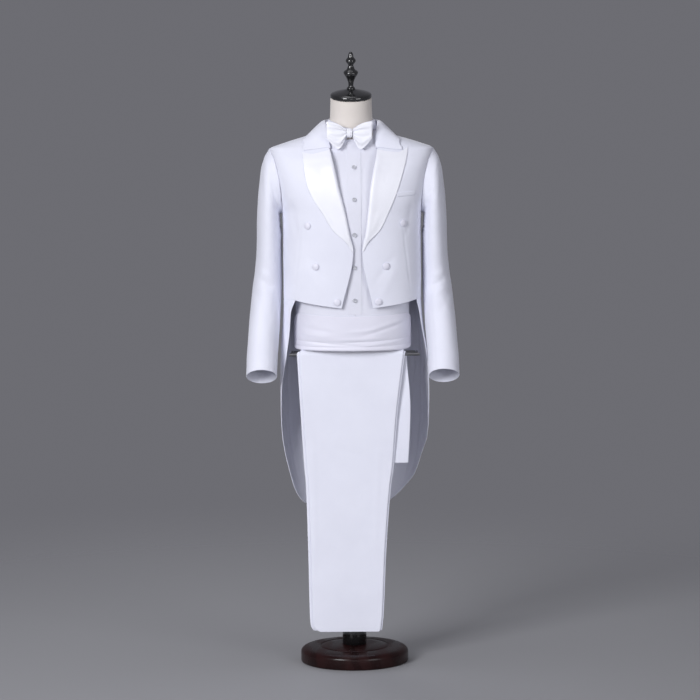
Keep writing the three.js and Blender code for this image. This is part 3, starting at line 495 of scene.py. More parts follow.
def undulation(x, z, height, size, seed=0.0):
    """The slight unevenness of cloth that hangs: a few crossed long waves."""
    turns = [(0.31, 1.9), (1.27, 2.6), (2.2, 3.7), (2.9, 5.1), (0.8, 7.3)]
    total = np.zeros(np.broadcast(x, z).shape)
    for k, (turn, pitch) in enumerate(turns):
        phase = seed * (k + 1.7) + 2.1 * k
        along = x * math.cos(turn) + z * math.sin(turn)
        swing = 0.7 * np.sin((x * math.sin(turn) - z * math.cos(turn)) / (size * 1.6) + phase)
        total += np.sin(along * pitch / size + phase + swing) / (k + 1)
    return height * total / 2


def mesh_object(name, points, faces, uvs=None, to_rim=NO_RIM):
    """A smooth mesh from points in millimetres, each with its distance to the cloth's rim."""
    mesh = bpy.data.meshes.new(name)
    mesh.from_pydata((np.asarray(points) * MM).tolist(), [], faces)
    mesh.shade_smooth()
    if uvs is not None:
        layer = mesh.uv_layers.new(name="cut")
        layer.data.foreach_set("uv", np.asarray(uvs, np.float32).ravel())
    rim = mesh.attributes.new("rim", "FLOAT", "POINT")
    rim.data.foreach_set("value", np.broadcast_to(to_rim, len(points)).astype(np.float32))
    mesh.validate()
    made = bpy.data.objects.new(name, mesh)
    bpy.context.scene.collection.objects.link(made)
    return made


def shell(name, outer, inner, closed=False):
    """A closed wall between two grids, with rounded rims, texture places and a distance to its rim."""
    rows, columns = outer.shape[:2]
    u, v = lengths_along(outer, 1), lengths_along(outer, 0)
    if closed:
        last = np.linalg.norm(outer[:, 0] - outer[:, -1], axis=1) + u[:, -1]
        u = np.concatenate([u, last[:, None]], axis=1)
        v = np.concatenate([v, v[:, :1]], axis=1)
    u = u - u.mean(axis=1, keepdims=True)
    texture = np.stack([u, v], axis=2) * MM
    to_rim = np.minimum(v, v[-1] - v)[:, :columns]
    if not closed:
        to_side = np.minimum(u - u[:, :1], u[:, -1:] - u)
        to_rim = np.minimum(to_rim, to_side)
    count = rows * columns
    points = [outer.reshape(-1, 3), inner.reshape(-1, 3)]
    rim_of = [to_rim.ravel(), to_rim.ravel()]
    faces, face_uvs = [], []

    def place(i, j):
        return texture[i, j] if closed else texture[i, min(j, columns - 1)]

    def quad(corners, spots):
        faces.append(corners)
        face_uvs.extend(place(*spot) for spot in spots)

    for i in range(rows - 1):
        for j in range(columns if closed else columns - 1):
            k = (j + 1) % columns
            ring = [i * columns + j, i * columns + k, (i + 1) * columns + k, (i + 1) * columns + j]
            spots = [(i, j), (i, j + 1), (i + 1, j + 1), (i + 1, j)]
            quad(ring, spots)
            quad([count + c for c in reversed(ring)], spots[::-1])
    if closed:
        loops = [[(0, j) for j in range(columns)][::-1], [(rows - 1, j) for j in range(columns)]]
    else:
        bottom = [(0, j) for j in range(columns)]
        right = [(i, columns - 1) for i in range(1, rows)]
        top = [(rows - 1, j) for j in range(columns - 2, -1, -1)]
        left = [(i, 0) for i in range(rows - 2, 0, -1)]
        loops = [(bottom + right + top + left)[::-1]]
    made = 2 * count
    for loop in loops:
        i, j = np.array(loop).T
        inside_i = np.clip(i, 1, rows - 2)
        inside_j = j if closed else np.clip(j, 1, columns - 2)
        middle = (outer[i, j] + inner[i, j]) / 2
        wall = np.linalg.norm(outer[i, j] - inner[i, j], axis=1, keepdims=True)
        away = unit(outer[i, j] - outer[inside_i, inside_j])
        points.append(middle + RIM_BULGE * wall * away)
        rim_of.append(np.zeros(len(loop)))
        for k in range(len(loop)):
            n = (k + 1) % len(loop)
            a, b = loop[k][0] * columns + loop[k][1], loop[n][0] * columns + loop[n][1]
            spots = [loop[k], loop[n], loop[n], loop[k]]
            quad([a, b, made + n, made + k], spots)
            quad([made + k, made + n, count + b, count + a], spots)
        made += len(loop)
    points = np.concatenate(points)
    corners = points[np.array(faces)]
    fan = np.einsum("ij,ij->i", corners[:, 0], np.cross(corners[:, 1], corners[:, 2])).sum()
    fan += np.einsum("ij,ij->i", corners[:, 0], np.cross(corners[:, 2], corners[:, 3])).sum()
    face_uvs = np.array(face_uvs).reshape(-1, 4, 2)
    if fan < 0:
        faces = [face[::-1] for face in faces]
        face_uvs = face_uvs[:, ::-1]
    return mesh_object(name, points, faces, face_uvs, np.concatenate(rim_of))


def seam_dip(distance, depth=0.7, width=2.2):
    """A seam draws the cloth in along its line."""
    return -depth * np.exp(-((distance / width) ** 2))


def skin_piece(name, skin, z, angle, lift, thickness, relief, seams=""):
    """Cloth on a skin, with its relief and its sewn edges drawn in."""
    flat = lifted(skin, z, angle, lift + thickness)
    u, v = lengths_along(flat, 1), lengths_along(flat, 0)
    raised = relief(skin_points(skin, z, angle), angle)
    edges = {"start": u, "end": u[:, -1:] - u, "bottom": v, "top": v[-1:] - v}
    for edge in seams.split():
        raised = raised + seam_dip(edges[edge])
    outer = lifted(skin, z, angle, lift + thickness + raised)
    inner = lifted(skin, z, angle, lift + raised)
    return shell(name, outer, inner)


# What cloth does to the light

# Two bands of a wave texture of scale 1 lie this far apart, in metres
WAVE_PITCH = 0.314
# Stitches: half the width of their row in millimetres, how many in a metre, the share of each that
# shows, and how deep they lie beside the threads
STITCH_HALF_WIDTH, STITCHES, STITCH_SHARE, STITCH_DEPTH = 0.45, 380, 0.7, 2.5
# Heights of bumps, in metres
WEAVE_HEIGHT, WRINKLE_HEIGHT, GRAIN_HEIGHT = 0.00006, 0.0016, 0.0002


def node_tree(name):
    """A new material: its shader, and functions that fill inputs, add a node and calculate."""
    material = bpy.data.materials.new(name)
    material.use_nodes = True
    nodes, links = material.node_tree.nodes, material.node_tree.links

    def fill(made, inputs):
        for key, value in inputs.items():
            if isinstance(value, bpy.types.NodeSocket):
                links.new(value, made.inputs[key])
            else:
                made.inputs[key].default_value = value
        return made

    def node(kind, inputs=None, **settings):
        made = nodes.new(kind)
        for key, value in settings.items():
            setattr(made, key, value)
        return fill(made, inputs or {})

    def calc(operation, *values):
        return node("ShaderNodeMath", dict(enumerate(values)), operation=operation).outputs[0]

    return material, nodes["Principled BSDF"], fill, node, calc


def ramp(node, source, low, high, start=0.3, end=0.7):
    inputs = {"Value": source, "From Min": start, "From Max": end, "To Min": low, "To Max": high}
    return node("ShaderNodeMapRange", inputs).outputs[0]


def colour_mix(node, factor, first, second):
    inputs = {"Factor": factor, 6: (*first, 1), 7: (*second, 1)}
    return node("ShaderNodeMix", inputs, data_type="RGBA").outputs[2]


def bump(node, strength, distance, height, **under):
    inputs = {"Strength": strength, "Distance": distance, "Height": height, **under}
    return node("ShaderNodeBump", inputs).outputs[0]


def woven(name, light, dark, roughness, thread, weave, wrinkle, sheen, stitch=None, satin=False):
    """A woven cloth: threads both ways, slubs, slight creasing, uneven tone and a row of stitches."""
    material, shader, fill, node, calc = node_tree(name)
    spot = node("ShaderNodeTexCoord").outputs["UV"]
    where = node("ShaderNodeTexCoord").outputs["Object"]

    def noise(vector, scale, detail, rough=0.55):
        inputs = {"Vector": vector, "Scale": scale, "Detail": detail, "Roughness": rough}
        return node("ShaderNodeTexNoise", inputs).outputs["Fac"]

    def threads(direction, size):
        inputs = {
            "Vector": spot, "Scale": WAVE_PITCH / size,
            "Distortion": 1.2, "Detail": 1, "Detail Scale": 0.4,
        }
        return node("ShaderNodeTexWave", inputs, bands_direction=direction).outputs["Fac"]

    weft_size, weft_share, warp_share = (0.45, 0.9, 0.15) if satin else (1.0, 0.5, 0.5)
    warp, weft = threads("X", thread), threads("Y", thread * weft_size)
    cloth = calc("MULTIPLY_ADD", weft, weft_share, calc("MULTIPLY", warp, warp_share))
    slub, tone = noise(spot, 900, 2), noise(where, 7, 4)
    patch = calc("MULTIPLY_ADD", slub, 0.35, calc("MULTIPLY", tone, 0.65))
    shade = ramp(node, patch, 0, 1, 0.32, 0.68)
    height = calc("MULTIPLY_ADD", slub, 0.25, cloth)
    if stitch:
        rim = node("ShaderNodeAttribute", attribute_name="rim").outputs["Fac"]
        row = calc("LESS_THAN", calc("ABSOLUTE", calc("SUBTRACT", rim, stitch)), STITCH_HALF_WIDTH)
        split = node("ShaderNodeSeparateXYZ", {0: spot}).outputs
        run = calc("MULTIPLY", calc("ADD", split[0], split[1]), STITCHES)
        dash = calc("LESS_THAN", calc("FRACT", run), STITCH_SHARE)
        height = calc("MULTIPLY_ADD", calc("MULTIPLY", row, dash), -STITCH_DEPTH, height)
    fine = bump(node, weave, WEAVE_HEIGHT, height)
    fill(shader, {
        "Base Color": colour_mix(node, shade, dark, light),
        "Normal": bump(node, wrinkle, WRINKLE_HEIGHT, noise(where, 16, 5, 0.45), Normal=fine),
        "Roughness": ramp(node, tone, roughness - 0.06, roughness + 0.06),
        "Sheen Weight": sheen,
        "Sheen Roughness": 0.4,
        "Specular IOR Level": 0.55 if satin else 0.3,
        "Anisotropic": 0.55 if satin else 0,
    })
    return material


def lacquer(name, light, dark, roughness, coat=0, grain=None, metal=0, brushed=False, gloss=0.5):
    """A hard finish: gloss lacquer, varnished wood or brushed metal."""
    material, shader, fill, node, calc = node_tree(name)
    where = spot = node("ShaderNodeTexCoord").outputs["Object"]
    if brushed:
        spot = node("ShaderNodeMapping", {"Vector": where, "Scale": (3, 900, 900)}).outputs[0]
    tone = node("ShaderNodeTexNoise", {"Vector": spot, "Scale": 34, "Detail": 5}).outputs["Fac"]
    if grain:
        inputs = {"Vector": where, "Scale": grain, "Distortion": 7, "Detail": 4, "Detail Scale": 1.6}
        wave = node("ShaderNodeTexWave", inputs, bands_direction="X").outputs["Fac"]
        tone = calc("MULTIPLY_ADD", wave, 0.6, calc("MULTIPLY", tone, 0.4))
    fill(shader, {
        "Base Color": colour_mix(node, tone, dark, light),
        "Roughness": ramp(node, tone, roughness * 0.8, roughness * 1.25),
        "Normal": bump(node, 0.25, GRAIN_HEIGHT, tone),
        "Metallic": metal,
        "Specular IOR Level": gloss,
        "Coat Weight": coat,
        "Coat Roughness": 0.06,
    })
    return material


MATERIALS = {
    "cloth": woven(
        "white suiting", (0.825, 0.835, 0.93), (0.76, 0.77, 0.865),
        roughness=0.78, thread=0.0006, weave=0.35, wrinkle=0.35, sheen=0.25, stitch=5.5,
    ),
    "satin": woven(
        "white satin", (0.90, 0.905, 0.965), (0.84, 0.845, 0.915),
        roughness=0.40, thread=0.0004, weave=0.2, wrinkle=0.3, sheen=0.15, satin=True,
    ),
    # Duller, lilac satin of the cummerbund; the coat buttons are given it as well, so their darker tone is
    # painted shade
    "sash_and_button_shade": woven(
        "white sash satin and painted button shade", (0.79, 0.785, 0.885), (0.73, 0.725, 0.82),
        roughness=0.46, thread=0.0004, weave=0.2, wrinkle=0.4, sheen=0.15, satin=True,
    ),
    "shirting": woven(
        "white poplin", (0.78, 0.785, 0.87), (0.72, 0.725, 0.81),
        roughness=0.72, thread=0.0004, weave=0.3, wrinkle=0.4, sheen=0.1, stitch=3.0,
    ),
    "jersey": woven(
        "cream jersey", (0.76, 0.71, 0.665), (0.69, 0.64, 0.595),
        roughness=0.85, thread=0.0012, weave=0.5, wrinkle=0.15, sheen=0.3,
    ),
    "pearl": lacquer("pearl plastic", (0.56, 0.57, 0.62), (0.40, 0.41, 0.46), roughness=0.3, coat=0.5),
    "black": lacquer(
        "black lacquer", (0.016, 0.016, 0.017), (0.009, 0.009, 0.010), roughness=0.22, coat=1.0
    ),
    "wood": lacquer(
        "varnished wood", (0.022, 0.006, 0.006), (0.010, 0.0035, 0.0035), roughness=0.28, grain=5, gloss=0.2
    ),
    "steel": lacquer(
        "brushed steel", (0.30, 0.30, 0.31), (0.18, 0.18, 0.19), roughness=0.32, metal=1.0, brushed=True
    ),
}


def paint(piece, material):
    piece.data.materials.clear()
    piece.data.materials.append(MATERIALS[material])


def finish_piece(piece, nodes, slot):
    """Gives a piece its material and its place on the frame."""
    paint(piece, slot)
    if nodes[0] not in ("form_base", "form_pole_collar"):
        piece.matrix_world = Matrix.Translation((0, 0, FORM_SETTING * MM)) @ piece.matrix_world
    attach(piece, "root")
    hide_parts(*nodes)


def finish_sheet(piece, nodes, slot):
    """The same for a sheet of cloth, whose nodes may be one name or a list."""
    finish_piece(piece, [nodes] if isinstance(nodes, str) else nodes, slot)


# The coat's body: pieces on one skin, with one relief across their seams

FRONT_CREASES = [
    (142, 1251, 162, 1085, 2.4, -0.9),
    (-142, 1251, -160, 1085, 2.4, -0.9),
    (118, 1180, 60, 1100, 9, -1.2),
    (126, 1150, 80, 1066, 11, 1.1),
    (-120, 1180, -66, 1105, 10, -1.1),
    (-128, 1150, -84, 1070, 11, 1.0),
    (168, 1330, 150, 1230, 8, -1.3),
    (-168, 1330, -152, 1230, 8, -1.3),
    (160, 1440, 120, 1400, 9, -0.8),
    (-160, 1440, -122, 1400, 9, -0.8),
]
TAIL_CREASES = [
    (98, 1010, 104, 620, 7, 2.2),
    (112, 980, 120, 560, 7, -2.2),
    (128, 960, 136, 540, 8, 2.4),
    (146, 1000, 152, 520, 8, -2.2),
    (166, 1000, 168, 500, 7, 1.8),
    (-84, 1000, -98, 640, 6, 1.8),
    (-98, 1010, -108, 600, 7, -2.2),
    (-114, 980, -122, 560, 7, 2.4),
    (-132, 960, -138, 540, 8, -2.2),
    (-150, 1000, -154, 520, 8, 2.0),
]
BACK_CREASES = [
    (130, 1300, 150, 1200, 6, -1.2),
    (-130, 1300, -150, 1200, 6, -1.2),
    (150, 1420, 126, 1380, 5, -1.4),
    (-150, 1420, -126, 1380, 5, -1.4),
    (160, 1110, 120, 1075, 6, -1.0),
    (-160, 1110, -120, 1075, 6, -1.0),
]
# Width of cloth that a degree round the body stands for, when creases are laid on it
DEGREE_WIDTH = 2.9


def scaled(table, wide, high=1):
    """Rows of creases with their places turned into millimetres."""
    return [(a * wide, b * high, c * wide, d * high, width, height) for a, b, c, d, width, height in table]


def coat_relief(points, angle):
    """Creases of the coat, the front ones by x and height, those behind by angle and height."""
    x, y, z = points[..., 0], points[..., 1], points[..., 2]
    front = smooth((20 - y) / 40) * smooth((z - 1046) / 16)
    around = angle * DEGREE_WIDTH
    raised = creases(x, z, FRONT_CREASES) * front
    raised += creases(around, z, scaled(TAIL_CREASES + BACK_CREASES, DEGREE_WIDTH))
    return raised + undulation(around, z, 0.55, 46, 1.3)


def armhole_depth(z):
    rise = (z - ARMHOLE_MIDDLE) / ARMHOLE_HALF_HEIGHT
    return ARMHOLE_HALF_DEPTH * np.sqrt(np.clip(1 - rise * rise, 0, 1))


def outer_angle(z, key):
    """The edge of a panel towards the side: side seam, then armhole, then shoulder seam."""
    seam = SIDE_SEAMS.get(key, z)
    armhole = angle_at_depth(COAT, z, armhole_depth(z), key)
    return np.where(z <= UNDERARM, seam, np.where(z >= ARMHOLE_TOP, 90.0, armhole))


def coat_panel(name, z, angle, seams):
    """A panel of the coat's body, which replaces the node of that name."""
    piece = skin_piece("sewn_" + name, COAT, z, angle, -COAT_WALL, COAT_WALL, coat_relief, seams)
    finish_sheet(piece, name, "cloth")


def coat_front(side):
    """A front, whose lower edge slopes down to a point from the tail's front edge."""
    sign = SIDES[side]
    level = heights(5, WAIST_SEAM, UNDERARM, ARMHOLE_TOP, COAT_NECK)
    fade = np.clip((POINT_FADE - level) / (POINT_FADE - WAIST_SEAM), 0, 1)
    lowest = level - (WAIST_SEAM - FRONT_POINT) * fade
    start = angle_at(COAT, lowest, FRONT_EDGE.get(side, lowest))
    end = sign * outer_angle(level, "front")
    angle = across(COAT, level, start, end, 64)
    corner = sign * TAIL_EDGE.get(side, WAIST_SEAM)
    drop = np.clip((corner - angle) / (corner - start[:, None]), 0, 1)
    z = level[:, None] - (WAIST_SEAM - FRONT_POINT) * drop * fade[:, None]
    coat_panel("coat_front_" + side, z, angle, "end")


def side_body(side):
    """A side body, whose upper edge is the lowest part of the armhole."""
    sign = SIDES[side]
    level = heights(5, WAIST_SEAM, UNDERARM)
    front, back = SIDE_SEAMS.get("front", level), SIDE_SEAMS.get("back", level)
    angle = across(COAT, level, sign * front, sign * back, 22)
    depth = np.abs(skin_points(COAT, UNDERARM, angle[-1])[:, 1])
    bow = np.sqrt(np.clip(1 - (depth / ARMHOLE_HALF_DEPTH) ** 2, 0, 1))
    top = ARMHOLE_MIDDLE - ARMHOLE_HALF_HEIGHT * bow
    fall = smooth((level - 1250) / (UNDERARM - 1250))[:, None]
    z = level[:, None] + (top[None] - UNDERARM) * fall
    coat_panel("coat_side_body_" + side, z, angle, "start end")


def coat_back(side):
    sign = SIDES[side]
    level = heights(5.5, TAIL_END, WAIST_SEAM, UNDERARM, ARMHOLE_TOP, COAT_NECK)
    start = np.where(level < WAIST_SEAM, TAIL_EDGE.get("seam", level), outer_angle(level, "back"))
    angle = across(COAT, level, sign * start, np.full(len(level), sign * 180.0), 44)
    coat_panel("coat_back_" + side, level[:, None], angle, "start end")


def tail_skirt(side):
    sign = SIDES[side]
    level = heights(5.5, TAIL_END, 462, WAIST_SEAM - WAIST_GAP)
    start, end = TAIL_EDGE.get(side, level), TAIL_EDGE.get("seam", level)
    angle = across(COAT, level, sign * start, sign * end, 44)
    coat_panel("coat_tail_skirt_" + side, level[:, None], angle, "end top")


# Folds of a sleeve: turn in degrees from the top round the front, ring, and the same at their end
SLEEVE_CREASES = [
    (250, 8.2, 330, 7.2, 10, -3.0),
    (235, 8.9, 318, 8.3, 9, 2.6),
    (228, 9.6, 312, 9.2, 9, -2.8),
    (240, 10.4, 300, 9.9, 9, 2.0),
    (60, 8.6, 118, 9.4, 10, -2.6),
    (52, 8.0, 104, 8.4, 9, 1.6),
    (66, 9.5, 124, 10.3, 9, 2.2),
    (72, 10.6, 120, 11.2, 9, -1.9),
    (30, 9.4, 70, 10.4, 11, -1.3),
    (150, 5.2, 215, 4.4, 12, -2.4),
    (145, 6.2, 215, 5.6, 12, 2.0),
    (20, 1.6, 60, 3.4, 12, -1.0),
    (300, 2.0, 330, 4.0, 12, -1.0),
]
# Width of cloth that a ring and a degree of turn stand for, when creases are laid on a sleeve
RING_HEIGHT, TURN_WIDTH = 48, 1.0
SLEEVE_COLUMNS = 84
FOREARM_SEAM, HINDARM_SEAM = 126, 255


def sleeve_grid(side):
    """Points of a sleeve from the armhole's rim down through its rings, with their ring and turn."""
    turn = np.linspace(0, 2 * math.pi, SLEEVE_COLUMNS, endpoint=False)
    z = ARMHOLE_MIDDLE + np.cos(turn) * ARMHOLE_HALF_HEIGHT
    depth = ARMHOLE_HALF_DEPTH * np.abs(np.sin(turn))
    ahead = angle_at_depth(COAT, z, depth, "front")
    behind = angle_at_depth(COAT, z, depth, "back")
    armhole = skin_points(COAT, z, np.where(turn < math.pi, ahead, behind))
    armhole[:, 0] += 0.2
    knots = [armhole]
    for ring in SLEEVE.at:
        row = {name: SLEEVE.get(name, ring) for name in SLEEVE.columns}
        middle_x, middle_z = (row["topX"] + row["innerX"]) / 2, (row["topZ"] + row["innerZ"]) / 2
        half_x, half_z = (row["topX"] - row["innerX"]) / 2, (row["topZ"] - row["innerZ"]) / 2
        pitch = math.radians(row["pitch"])
        up, forward = np.cos(turn), -np.sin(turn) * row["depth"]
        x, y = middle_x + up * half_x, row["y"] + forward * math.cos(pitch)
        knots.append(np.stack([x, y, middle_z + up * half_z - forward * math.sin(pitch)], axis=-1))
    knots = np.array(knots)
    at = np.concatenate([[0, 0.06], np.linspace(0.2, 13.9, 110), [13.975, 14]])
    grid = np.array([curve(np.arange(len(knots)), knots, t) for t in at])
    grid[..., 0] *= SIDES[side]
    return at, np.degrees(turn), grid


def sleeve(side):
    at, turn, grid = sleeve_grid(side)
    out = grid_normals(grid, closed=True)
    at = at[:, None]
    ring, around = at * RING_HEIGHT, turn[None, :] * TURN_WIDTH
    raised = creases(around, ring, scaled(SLEEVE_CREASES, TURN_WIDTH, RING_HEIGHT))
    raised += undulation(around, ring, 0.6, 40, 2.4) * smooth((at - 0.5) / 2)
    raised += 1.5 * np.exp(-(((at - 0.85) / 0.45) ** 2)) * smooth(np.cos(np.radians(turn))[None] * 1.4)
    for seam in (FOREARM_SEAM, HINDARM_SEAM):
        raised += seam_dip(np.abs(around - seam), 0.8, 2.2) * smooth((at - 0.8) / 1.5)
    raised += seam_dip(at * 22, 0.12, 1.6)
    outer = grid + out * raised[..., None]
    piece = shell("sewn_coat_sleeve_" + side, outer, outer - out * COAT_WALL, closed=True)
    panels = ["coat_top_sleeve_" + side, "coat_under_sleeve_" + side]
    finish_sheet(piece, panels, "cloth")


LAPEL_CREASES = {
    "right": [(-60, 1290, -40, 1240, 7, 0.8), (-110, 1430, -70, 1380, 10, -0.6)],
    "left": [(76, 1300, 56, 1246, 7, 0.8), (126, 1430, 90, 1380, 10, -0.6)],
}
# How far a lapel's roll stands out, and how wide it is
ROLL_HEIGHT, ROLL_WIDTH = 4.2, 7


def lapel(side):
    middle = np.linspace(LAPEL_BREAK + 6, GORGE - 2, 88)
    level = np.concatenate([[LAPEL_BREAK + 2, LAPEL_BREAK + 3], middle, [GORGE - 1, GORGE]])[:, None]
    t = places(34, 90)[None, :]
    z = level - smooth((level - 1300) / (GORGE - 1300)) * (GORGE - GORGE_EDGE.get(side, t))
    angle = angle_at(COAT, z, mix(FRONT_EDGE.get(side, z), LAPEL_EDGE.get(side, z), t))
    flat = skin_points(COAT, z, angle)
    from_roll = lengths_along(flat, 1)
    width = from_roll[:, -1:]
    fade = smooth((level - LAPEL_BREAK - 4) / 40) * mix(1, 0.5, smooth((level - 1400) / 60))
    roll = ROLL_HEIGHT * (from_roll / ROLL_WIDTH) * np.exp(1 - from_roll / ROLL_WIDTH) * fade
    edge = 0.35 * np.exp(-(((width - from_roll - 2.5) / 2.5) ** 2))
    wave = undulation(flat[..., 0], flat[..., 2], 0.35, 34, 0.7) * smooth(from_roll / 20)
    under_collar = smooth((GORGE - 4 - level) / 22)
    raised = coat_relief(flat, angle) + (roll + edge + wave) * under_collar
    raised = np.maximum(raised + creases(flat[..., 0], z, LAPEL_CREASES[side]), -0.2)
    outer = lifted(COAT, z, angle, APPLIED_GAP + LAPEL_WALL + raised)
    inner = lifted(COAT, z, angle, APPLIED_GAP + raised)
    piece = shell("sewn_coat_lapel_" + side, outer, inner)
    finish_sheet(piece, "coat_lapel_" + side, "satin")


def coat_collar():
    half_columns = 70

    def half(side):
        sign = SIDES[side]
        t = np.linspace(0, 1, half_columns)
        value = {name: COAT_COLLAR.get(name, t) for name in COAT_COLLAR.columns}
        gorge = angle_at(COAT, GORGE, COLLAR_END[side]) * sign
        shift = (FRONT_EDGE.get(side, GORGE) * sign - value["foldX"]) * (1 - t) ** 4

        def at(name):
            x = sign * (value[name + "X"] + shift)
            return np.stack([x, value[name + "Y"], value[name + "Z"]], axis=-1)

        angle = mix(gorge, value["edgeAngle"], np.clip(t / 0.2, 0, 1))
        edge = lifted(COAT, value["edgeZ"], sign * angle, COLLAR_LIFT + 0.2 * smooth(1 - t / 0.15))
        stand, fold = at("stand"), at("fold")
        roll = mix(fold, edge, 0.12)
        roll[:, 2] = mix(fold[:, 2], edge[:, 2], 0.06) + 1
        fall = mix(fold, edge, 0.55)
        fall[:, 2] += 3 * np.minimum(1, 4 * t)
        return np.stack([stand, fold, roll, fall, edge])

    knots = np.concatenate([half("right"), half("left")[:, ::-1][:, 1:]], axis=1)
    steps = np.concatenate([[0, 0.015], np.linspace(0.04, 0.96, 34), [0.985, 1]])
    grid = np.array([curve([0, 0.33, 0.42, 0.68, 1], knots, s) for s in steps]).transpose(1, 0, 2)
    grow = normals_to_back(grid, half_columns, -8)
    row = np.arange(len(grid))[:, None]
    wave = undulation(row * 4.0, steps[None] * 60, 0.25, 30, 0.4)
    wall = mix(0.7, COAT_WALL + wave, smooth(np.minimum(row, row[::-1]) / 14))
    piece = shell("sewn_coat_collar", grid + grow * wall[..., None], grid)
    finish_sheet(piece, "coat_collar", "cloth")


def breast_welt():
    middle_x, width, middle_z, height, slant = 149, 50, 1348, 11, 4
    up = places(8, height)[:, None]
    t = places(26, width)[None, :]
    z = middle_z + (up - 0.5) * height + (t - 0.5) * slant
    angle = angle_at(COAT, z, middle_x + (t - 0.5) * width)
    piece = skin_piece("sewn_coat_breast_welt", COAT, z, angle, APPLIED_GAP, 1.4, coat_relief, "bottom")
    finish_sheet(piece, "coat_breast_welt", "cloth")


# Buttons


def turned(name, profile, segments, gathers=0, depth=0.0):
    """A turned solid round its own Z, from radius and height pairs; gathers pleat a covered one."""
    turn = np.linspace(0, 2 * math.pi, segments, endpoint=False)
    points = [(0, 0, profile[0][1])]
    rings = [pair for pair in profile if pair[0] > 0]
    for radius, height in rings:
        shape = 1 + depth * np.cos(gathers * turn) * (radius / rings[len(rings) // 3][0]) ** 2
        for a, s in zip(turn, shape):
            points.append((radius * s * math.cos(a), radius * s * math.sin(a), height))
    points.append((0, 0, profile[-1][1]))
    return mesh_object(name, points, ring_faces(1, len(rings), segments, foot=0, head=len(points) - 1))


def button_profile(radius, height):
    under = [(0, 0), (0.5 * radius, 0), (0.62 * radius, 0.1 * height), (0.93 * radius, 0.3 * height)]
    dome = [(radius * math.cos(a), height * (0.45 + 0.55 * math.sin(a))) for a in np.linspace(0, 1.4, 9)]
    return under + dome + [(0, height)]


def pearl_profile(radius, height):
    rim = [(0, 0), (0.7 * radius, 0), (0.97 * radius, 0.25 * height), (radius, 0.6 * height)]
    face = [(0.9 * radius, height), (0.72 * radius, 0.97 * height), (0.6 * radius, 0.72 * height)]
    return rim + face + [(0.25 * radius, 0.68 * height), (0, 0.68 * height)]


def set_on(piece, skin, x, z, lift):
    """Places a turned piece on a skin, facing outwards."""
    angle = angle_at(skin, z, x)
    place = lifted(skin, z, angle, lift)
    turn = Vector((0, 0, 1)).rotation_difference(Vector(skin_normals(skin, z, angle)))
    piece.matrix_world = Matrix.Translation(Vector(place * MM)) @ turn.to_matrix().to_4x4()


def coat_buttons():
    profile = button_profile(COAT_BUTTON_RADIUS, COAT_BUTTON_HEIGHT)
    for side, spots in COAT_BUTTONS.items():
        for i, (x, z, lift) in enumerate(spots, 1):
            piece = turned(f"covered_button_{side}_{i}", profile, 48, gathers=14, depth=0.012)
            set_on(piece, COAT, x, z, lift)
            finish_piece(piece, [f"coat_button_{side}_{i}"], "satin")
            # Painted shade: the buttons take the darker sash satin in place of their own lapel satin
            paint(piece, "sash_and_button_shade")


def shirt_buttons():
    profile = pearl_profile(SHIRT_BUTTON_RADIUS, SHIRT_BUTTON_HEIGHT)
    for i, z in enumerate(SHIRT_BUTTON_HEIGHTS, 1):
        piece = turned(f"pearl_button_{i}", profile, 40)
        set_on(piece, FORM, PLACKET_X, z, SHIRT_FACE + PLACKET_GAP + SHIRT_WALL + BUTTON_GAP)
        finish_piece(piece, [f"shirt_button_{i}"], "pearl")


# The shirt

SHIRT_CREASES = [
    (34, 1440, 34, 1010, 1.6, -1.0),
    (37, 1440, 37, 1010, 1.8, 0.7),
    (-26, 1440, -26, 1010, 1.6, -1.0),
    (-23, 1440, -23, 1010, 1.8, 0.6),
    (16, 1120, 44, 1060, 6, 0.8),
    (-8, 1110, -36, 1040, 6, 0.8),
    (22, 1250, 40, 1180, 7, -0.7),
    (0, 1330, 26, 1290, 7, 0.6),
]


def shirt_relief(points, _angle):
    x, z = points[..., 0], points[..., 2]
    front = smooth((-points[..., 1] - 20) / 40)
    return creases(x, z, SHIRT_CREASES) * front + undulation(x, z, 0.3, 30, 3.1) * smooth((1480 - z) / 60)


def shirt_neckline(angle):
    return mix(1498, 1521, smooth((np.abs((angle + 180) % 360 - 180) - 15) / 45))


def shirt_height(z, angle):
    rise = np.clip((z - SHIRT_ARMHOLE_TOP) / (SHIRT_NECK - SHIRT_ARMHOLE_TOP), 0, 1)
    return np.where(z <= SHIRT_ARMHOLE_TOP, z, mix(SHIRT_ARMHOLE_TOP, shirt_neckline(angle), rise))


def shirt_outer(z, key):
    middle = (UNDERARM + SHIRT_ARMHOLE_TOP) / 2
    rise = (z - middle) / (middle - UNDERARM)
    depth = SHIRT_ARMHOLE_HALF_DEPTH * np.clip(1 - rise * rise, 0, 1)
    return np.where((z <= UNDERARM) | (z >= SHIRT_ARMHOLE_TOP), 90.0, angle_at_depth(FORM, z, depth, key))


def shirt_panel(name, level, angle, seams):
    """A panel of the shirt's body, which replaces the node of that name."""
    z = shirt_height(level[:, None], angle)
    piece = skin_piece("sewn_" + name, FORM, z, angle, SHIRT_CLEARANCE, SHIRT_WALL, shirt_relief, seams)
    finish_sheet(piece, name, "shirting")


